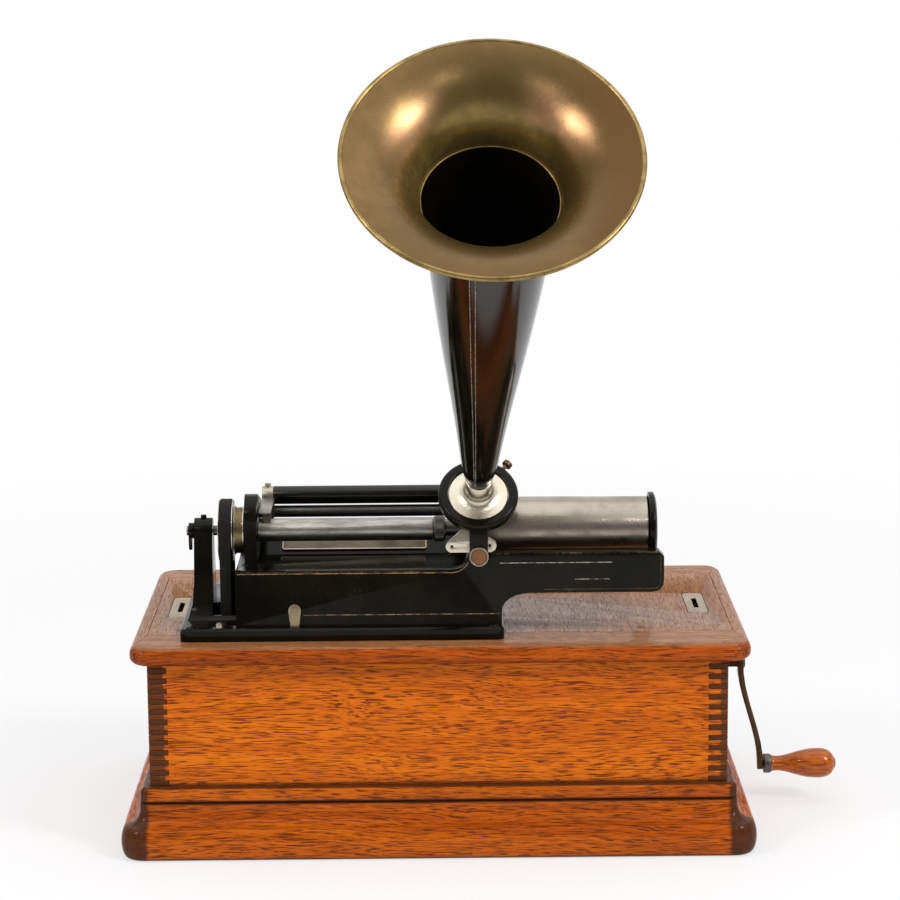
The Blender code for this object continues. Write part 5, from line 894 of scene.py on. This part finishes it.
def makeRods():
    tube = {"radius": 6.4, "left": -114, "right": 32.7}
    place = toward((1, 0, 0), (0, rodLine["y"], rodLine["tubeZ"]))
    standIn("carriage_tube", turned(band(0, *tube.values()), place, 64, False, 0.5), "japanSmooth")
    rod = {"radius": 4.2, "left": -130.9, "right": 149.7}
    place = toward((1, 0, 0), (0, rodLine["y"], rodLine["z"]))
    standIn("back_rod", turned(band(0, *rod.values()), place, 48, False, 0.4), "darkSteel")


makeShaftLine()
makeWheels()
makeBelt()
makeRods()
print("shaft line made")


def makeGate():
    gate = {"tip": 142.4, "left": 144.9, "web": 147, "right": 150, "inner": 21, "outer": 24, "boss": 7,
            "pivot": 2.5, "low": 171, "high": 182, "half": 5.5, "hingeX": 146, "hingeY": 16}
    tip, left, web, right, inner, outer, boss, pivot, low, high, half, hingeX, hingeY = gate.values()
    profile = [(0, tip), (pivot / 2, tip), (pivot, left), (boss, left), (boss, web), (inner, web), (inner, left),
               (outer, left), (outer, right - 1.5), (inner, right), (0, right)]
    parts = [turned(profile, shaftPlace, 96, False, 0.6)]
    y, rim = shaft["y"], shaft["z"] - inner
    outline = [(y - half, low), (hingeY, low), (hingeY, high), (y + 2 * half, high), (y + half, rim),
               (y - half, rim)]
    parts.append(rounded(prism(outline, left + 0.3, right - 0.3), 0.8))
    knuckle = {"bore": 2.5, "radius": 6.2, "low": 170.7, "high": 184.2}
    parts.append(turned(band(*knuckle.values()), moved(hingeX, hingeY, 0), 48, True, 0.5))
    standIn("end_gate", joined(parts), "japan")


def makeCrankHandle():
    low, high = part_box("crank_handle")
    start, length = low.x / mm, (high.x - low.x) / mm
    handle = {"bore": 2.3, "z": 27, "tip": 1.05, "ferrule": 6.9, "mouth": 6.2, "shoulder": 4.2, "end": 5.4}
    bore, height, tip, ferrule, mouth, shoulder, end = handle.values()
    shape = [(0.095, 6.3), (0.14, 5.5), (0.20, 5.3), (0.28, 5.8), (0.38, 7.1), (0.50, 8.8), (0.62, 10.1),
             (0.73, 10.6), (0.83, 10.4), (0.91, 9.2), (0.965, 7.0), (1.0, 4.2)]
    fine = curved([(start + length * along, radius) for along, radius in shape])
    profile = [(bore, fine[0][0])] + [(radius, x) for x, radius in fine] + [(0, start + length + tip)]
    line = toward((1, 0, 0), (0, 0, height))
    standIn("crank_handle", turned(profile, line, 72), "handle", 60)
    profile = [(bore, start), (ferrule, start), (ferrule, start + shoulder), (mouth, start + end),
               (bore, start + end)]
    piece("handleFerrule", turned(profile, line, 64, True, 0.5), "darkSteel", "crank_handle")


makeGate()
makeCrankHandle()
print("gate and handle made")


def plinthProfile():
    plinth = {"back": 0.3, "sole": 16, "reach": 20, "footTop": 22, "cove": 7, "coveTop": 33, "ledge": 36.5,
              "groove": 4.5, "grooveTop": 38.3, "bead": 6.5, "top": 47.5}
    back, sole, reach, footTop, cove, coveTop, ledge, groove, grooveTop, bead, top = plinth.values()
    profile = [(back, 0.0)] + arc((sole, footTop / 2), reach - sole, -90, 90, 12, footTop / 2)
    profile += arc((sole, coveTop), sole - cove, 270, 180, 10, coveTop - footTop)[1:]
    profile += [(cove, ledge), (groove, ledge), (groove, grooveTop), (bead, grooveTop)]
    return profile + arc((bead - 3.5, top - 3.5), 3.5, 0, 90, 6) + [(back, top)]


def makePlinth():
    box = {"halfWidth": 195.5, "halfDepth": 106, "roundShare": 0.8, "joint": 0.2}
    halfWidth, halfDepth, roundShare, joint = box.values()
    sides = {"plinth_front": (halfWidth, halfDepth, 0, "plinthFront"),
             "plinth_back": (halfWidth, halfDepth, 180, "plinthFront"),
             "plinth_right": (halfDepth, halfWidth, 90, "plinthSide"),
             "plinth_left": (halfDepth, halfWidth, 270, "plinthSide")}
    turns = (45, 36, 27, 18, 9, 0)
    stations = [(1, turn) for turn in turns] + [(-1, turn) for turn in reversed(turns)]
    for node, (length, depth, angle, finish) in sides.items():
        solid = bmesh.new()
        rows = []
        for side, turn in stations:
            row = []
            for offset, height in plinthProfile():
                radius = offset * roundShare
                x = length + offset - radius * (1 - math.sin(math.radians(turn))) - (joint if turn == 45 else 0)
                y = depth + offset - radius * (1 - math.cos(math.radians(turn)))
                row.append(corner(solid, side * x, -y, height))
            rows.append(row)
        skin(solid, rows)
        solid.faces.new(rows[0])
        solid.faces.new(rows[-1])
        solid.transform(Matrix.Rotation(math.radians(angle), 4, "Z"))
        standIn(node, solid, finish, 30)


makePlinth()
for node, finish in {"wall_front": "oakFront", "wall_back": "oakFront", "wall_left": "oakSide",
                     "wall_right": "oakSide"}.items():
    softened(node, finish, 0.25, segments=1)
softened("deck_panel", "deckBoard", 0.2, segments=1, smooth=40)


def makeDeckEdge():
    # the board's four edge strips, mitred at its corners
    deck = {"x": 208.7, "y": 119.2, "innerX": 199.2, "innerFront": -80, "innerBack": 89.2, "low": 133.5,
            "thick": 12.5, "shift": 1.8, "corner": 14, "edge": 5.5, "joint": 0.12}
    x, y, inX, front, back, low, thick, shift, bend, edge, joint = deck.values()
    corners = {(i, j): ((i * x, j * y), (i * inX, back if j > 0 else front)) for i in (-1, 1) for j in (-1, 1)}
    strips = {"deck_front": ((-1, -1), (1, -1), (0, -y), "deckEdgeFront"),
              "deck_back": ((1, 1), (-1, 1), (0, y), "deckEdgeFront"),
              "deck_left": ((-1, 1), (-1, -1), (-x, 0), "deckEdgeSide"),
              "deck_right": ((1, -1), (1, 1), (x, 0), "deckEdgeSide")}
    levels = []
    for turn in range(0, 91, 10):
        sin, cos = math.sin(math.radians(turn)), math.cos(math.radians(turn))
        levels.append((edge * (1 - sin), edge * (1 - cos)))
    levels += [(inset, thick - height) for inset, height in reversed(levels)]
    for node, (one, two, outside, finish) in strips.items():
        solid = bmesh.new()
        rows = []
        for inset, height in levels:
            radius = bend - inset
            outline = []
            for signX, signY, start in ((1, 1, 0), (-1, 1, 90), (-1, -1, 180), (1, -1, 270)):
                middle = (signX * (x - inset - radius), signY * (y - inset - radius))
                outline += arc(middle, radius, start, start + 90, 14)
            rows.append([corner(solid, px, py, low + height) for px, py in outline])
        skin(solid, rows)
        solid.faces.new(rows[0])
        solid.faces.new(rows[-1])
        for start, end in (corners[one], (corners[one][1], corners[two][1]), corners[two]):
            run = (Vector(end) - Vector(start)).normalized()
            normal = Vector((run.y, -run.x, 0))
            if normal.dot(Vector((outside[0] - start[0], outside[1] - start[1], 0))) > 0:
                normal.negate()
            spot = (Vector((*start, 0)) - normal * joint) * mm
            geometry = solid.verts[:] + solid.edges[:] + solid.faces[:]
            cut = bmesh.ops.bisect_plane(solid, geom=geometry, plane_co=spot, plane_no=normal, clear_outer=True)
            edges = [item for item in cut["geom_cut"] if isinstance(item, bmesh.types.BMEdge)]
            bmesh.ops.edgenet_fill(solid, edges=edges)
        solid.transform(moved(shift, 0, 0))
        standIn(node, solid, finish, 30)


makeDeckEdge()
repaint("bottom_board", "oakPlain")
for end in ("lower_left", "lower_right", "upper_left", "upper_right"):
    softened(f"hinge_{end}", "catchMetal", 0.25, segments=1)
for end in ("left", "right"):
    softened(f"catch_plate_{end}", "catchMetal", 0.25)
repaint("crank_bush", "turnedBrass")
print("cabinet made")


softened("bed_casting", "japanBed", 1.3, 34, 3, 40)
for node, (finish, width) in {
        "wing_nut": ("japan", 0.4), "speed_screw": ("nickel", 0.4), "start_lever": ("leverBrass", 0.4),
        "centre_screw": ("steel", 0.25), "tube_bracket": ("nickel", 0.4), "guide_plate": ("nickelDish", 0.25),
        "feed_nut": ("nickelDull", 0.3), "feed_nut_arm": ("steel", 0.25), "crank": ("crankBronze", 0.8),
        "stylus_weight": ("nickel", 0.4)}.items():
    softened(node, finish, width)
softened("blank_plate", "nickelDull", 0.2, segments=1)


def makePlateFrame():
    # the light border of the bare plate
    border = {"width": 0.9, "rise": 0.25}
    solid = cleanCopy("blank_plate")
    top = max(solid.faces, key=lambda face: face.calc_area() * (1 if face.normal.z > 0 else 0))
    lift = top.normal.copy() * border["rise"] * mm
    ring = set(bmesh.ops.inset_individual(solid, faces=[top], thickness=border["width"] * mm)["faces"])
    bmesh.ops.delete(solid, geom=[face for face in solid.faces if face not in ring], context="FACES")
    grown = bmesh.ops.extrude_face_region(solid, geom=solid.faces[:])["geom"]
    bmesh.ops.translate(solid, verts=[item for item in grown if isinstance(item, bmesh.types.BMVert)], vec=lift)
    # the extrusion adds its faces in any order, so they are put in the same one on every run
    solid.faces.sort(key=lambda face: face.calc_center_median().dot((1, 7, 49)))
    piece("blankPlateFrame", solid, "catchMetal", "deck")


makePlateFrame()
for node, finish in {"diaphragm": "mica", "gate_pin": "steel", "motor_frame": "japan", "winding_shaft": "steel",
                     "barrel_arbor": "steel", "drive_pulley": "steel", "spring_barrel": "turnedBrass",
                     "intermediate_gear": "turnedBrass", "governor": "turnedBrass"}.items():
    repaint(node, finish)


def makeBedScrews():
    screw = {"radius": 3.4, "rise": 1.7, "top": 154.7, "sunk": 2, "x": (-166.3, 37.8), "y": (-96.5, 29)}
    radius, top, low = screw["radius"], screw["top"], screw["top"] - screw["sunk"]
    cap = [(0, low), (radius, low), (radius, top)] + arc((0, top), radius, 0, 90, 8, screw["rise"])[1:]
    heads = [turned(cap, moved(x, y, 0), 32) for y in screw["y"] for x in screw["x"]]
    piece("bedScrews", joined(heads), "japan", "deck")


makeBedScrews()


def ribbon(name, path, width, y, finish="gilt"):
    # a thin line on a face that looks forwards, along (x, z) points
    solid = bmesh.new()
    points = [Vector(point) for point in path]
    rows = []
    for index, point in enumerate(points):
        run = (points[min(index + 1, len(points) - 1)] - points[max(index - 1, 0)]).normalized()
        side = Vector((-run.y, run.x)) * width / 2
        rows.append([corner(solid, spot.x, y, spot.y) for spot in (point + side, point - side)])
    skin(solid, rows, False)
    piece(name, solid, finish, "deck")


def makeGilding():
    lines = {"front": -91.36, "width": 0.6, "thin": 0.5, "top": (-134.5, 190.5), "step": (10, 203.8),
             "low": ((-90.5, 161.9), (42.4, 161.9)), "upperDash": ((42.5, 196.8), (117.8, 196.8)),
             "lowerDash": ((92.9, 185.3), (116.5, 185.3)), "border": ((72, 178.4), (150.8, 201.6)),
             "turn": (146.4, 183.0)}
    front, width, thin, top, step, low, upperDash, lowerDash, (start, end), turn = lines.values()
    ribbon("giltLineTop", [top] + arc(step, 12.7, 270, 332, 12, 13.3), width, front)
    ribbon("giltLineLow", low, width, front)
    ribbon("railDashUpper", upperDash, width, front, "wornLine")
    ribbon("railDashLower", lowerDash, width, front, "wornLine")
    ribbon("railBorder", [start] + arc(turn, 4.4, 270, 360, 8, 4.6) + [end], thin, front, "giltFaint")


makeGilding()
print("bed made")


def makeCamera():
    view = {"place": (0.00001, -1.96483, 0.63261), "down": 10.819, "right": 0.288, "roll": -0.449, "lens": 114.3}
    pitch, yaw, roll = (math.radians(view[key]) for key in ("down", "right", "roll"))
    forward = Vector((math.sin(yaw) * math.cos(pitch), math.cos(yaw) * math.cos(pitch), -math.sin(pitch)))
    side = Vector((math.cos(yaw), -math.sin(yaw), 0))
    up = side.cross(forward)
    right = side * math.cos(roll) + up * math.sin(roll)
    top = up * math.cos(roll) - side * math.sin(roll)
    data = bpy.data.cameras.new("camera")
    data.lens = view["lens"]
    data.sensor_width = 36
    data.clip_start = 0.05
    data.clip_end = 30
    camera = addObject("camera", data)
    turn = Matrix((right, top, -forward)).transposed().to_4x4()
    camera.matrix_world = Matrix.Translation(view["place"]) @ turn
    bpy.context.scene.camera = camera


def softLamp(name, place, aim, size, power):
    data = bpy.data.lights.new(name, "AREA")
    data.shape = "RECTANGLE"
    data.size, data.size_y = size
    data.energy = power
    lamp = addObject(name, data)
    lamp.location = place
    lamp.rotation_euler = (Vector((0, 0, aim)) - Vector(place)).to_track_quat("-Z", "Y").to_euler()


def whiteRays(web):
    # the rays that meet a white background: the camera's own, and those off metal or through glass
    return [web.add("ShaderNodeLightPath", out=f"Is {kind} Ray") for kind in ("Camera", "Transmission", "Glossy")]


def makeFloor():
    ground = {"grey": 0.85, "reach": 6.0, "shadowShare": 0.55, "near": 350, "far": 1500}
    floor = Paint("paleFloor", Specular_IOR_Level=0.0)
    camera, through, glossy = whiteRays(floor)
    x, y, _ = floor.place()
    away = floor.add("ShaderNodeVectorMath", {"operation": "LENGTH"}, {0: floor.at(x, y, 0)}, out="Value")
    share = away.step(ground["near"], ground["far"], ground["shadowShare"], 1.0)
    glow = floor.add("ShaderNodeEmission", None, {"Color": (1, 1, 1), "Strength": 1.0})
    floor.colour((ground["grey"],) * 3)
    floor.rough(0.9)
    matt = Signal(floor, floor.shader.outputs[0])
    mixed = floor.add("ShaderNodeMixShader", None, {0: camera.most(through).most(glossy) * share, 1: matt, 2: glow})
    floor.feed(floor.tree.nodes["Material Output"].inputs["Surface"], mixed)
    mesh = bpy.data.meshes.new("floor")
    reach, low = ground["reach"], -0.0002
    mesh.from_pydata([(-reach, -reach, low), (reach, -reach, low), (reach, reach, low), (-reach, reach, low)], [],
                     [(0, 1, 2, 3)])
    mesh.materials.append(floor.material)
    addObject("floor", mesh)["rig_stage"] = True


def makeWorld():
    # metal sees a room that is white behind and above and dim in front
    room = {"level": 0.62, "front": 0.14, "low": -0.45, "high": 0.85}
    world = bpy.data.worlds.new("studio")
    bpy.context.scene.world = world
    world.use_nodes = True
    web = Web(world.node_tree)
    camera, through, glossy = whiteRays(web)
    _, y, z = web.parts(web.add("ShaderNodeTexCoord"))
    shade = (y * 0.6 + z * 0.8).step(room["low"], room["high"], room["front"], 1.0)
    level = web.blend(glossy, (room["level"],) * 3, web.blend(shade, (0, 0, 0), (1, 1, 1)))
    web.feed(web.tree.nodes["Background"].inputs["Color"], web.blend(camera.most(through), level, (1, 1, 1)))


makeCamera()
makeFloor()
makeWorld()
lamps = {  # place, height aimed at, size and power
    "lampLeft": ((-1.8, -1.35, 1.8), 0.2, (0.65, 0.9), 19),
    "lampRight": ((1.8, -1.35, 1.8), 0.2, (0.65, 0.9), 30),
    "lampTop": ((0, -0.1, 2.4), 0.1, (3.2, 2.6), 16),
    "glintLeft": ((-0.9, -2.2, 2.0), 0.1, (0.13, 0.13), 2.6),
    "glintRight": ((0.9, -2.2, 2.0), 0.1, (0.13, 0.13), 2.6),
}
for name, settings in lamps.items():
    softLamp(name, *settings)
bpy.context.scene.view_settings.view_transform = "Standard"
print("stage made")

boxes = {"cad": cadBounds, "looks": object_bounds()}
boxes = {name: [list(corner) for corner in corners] for name, corners in boxes.items()}
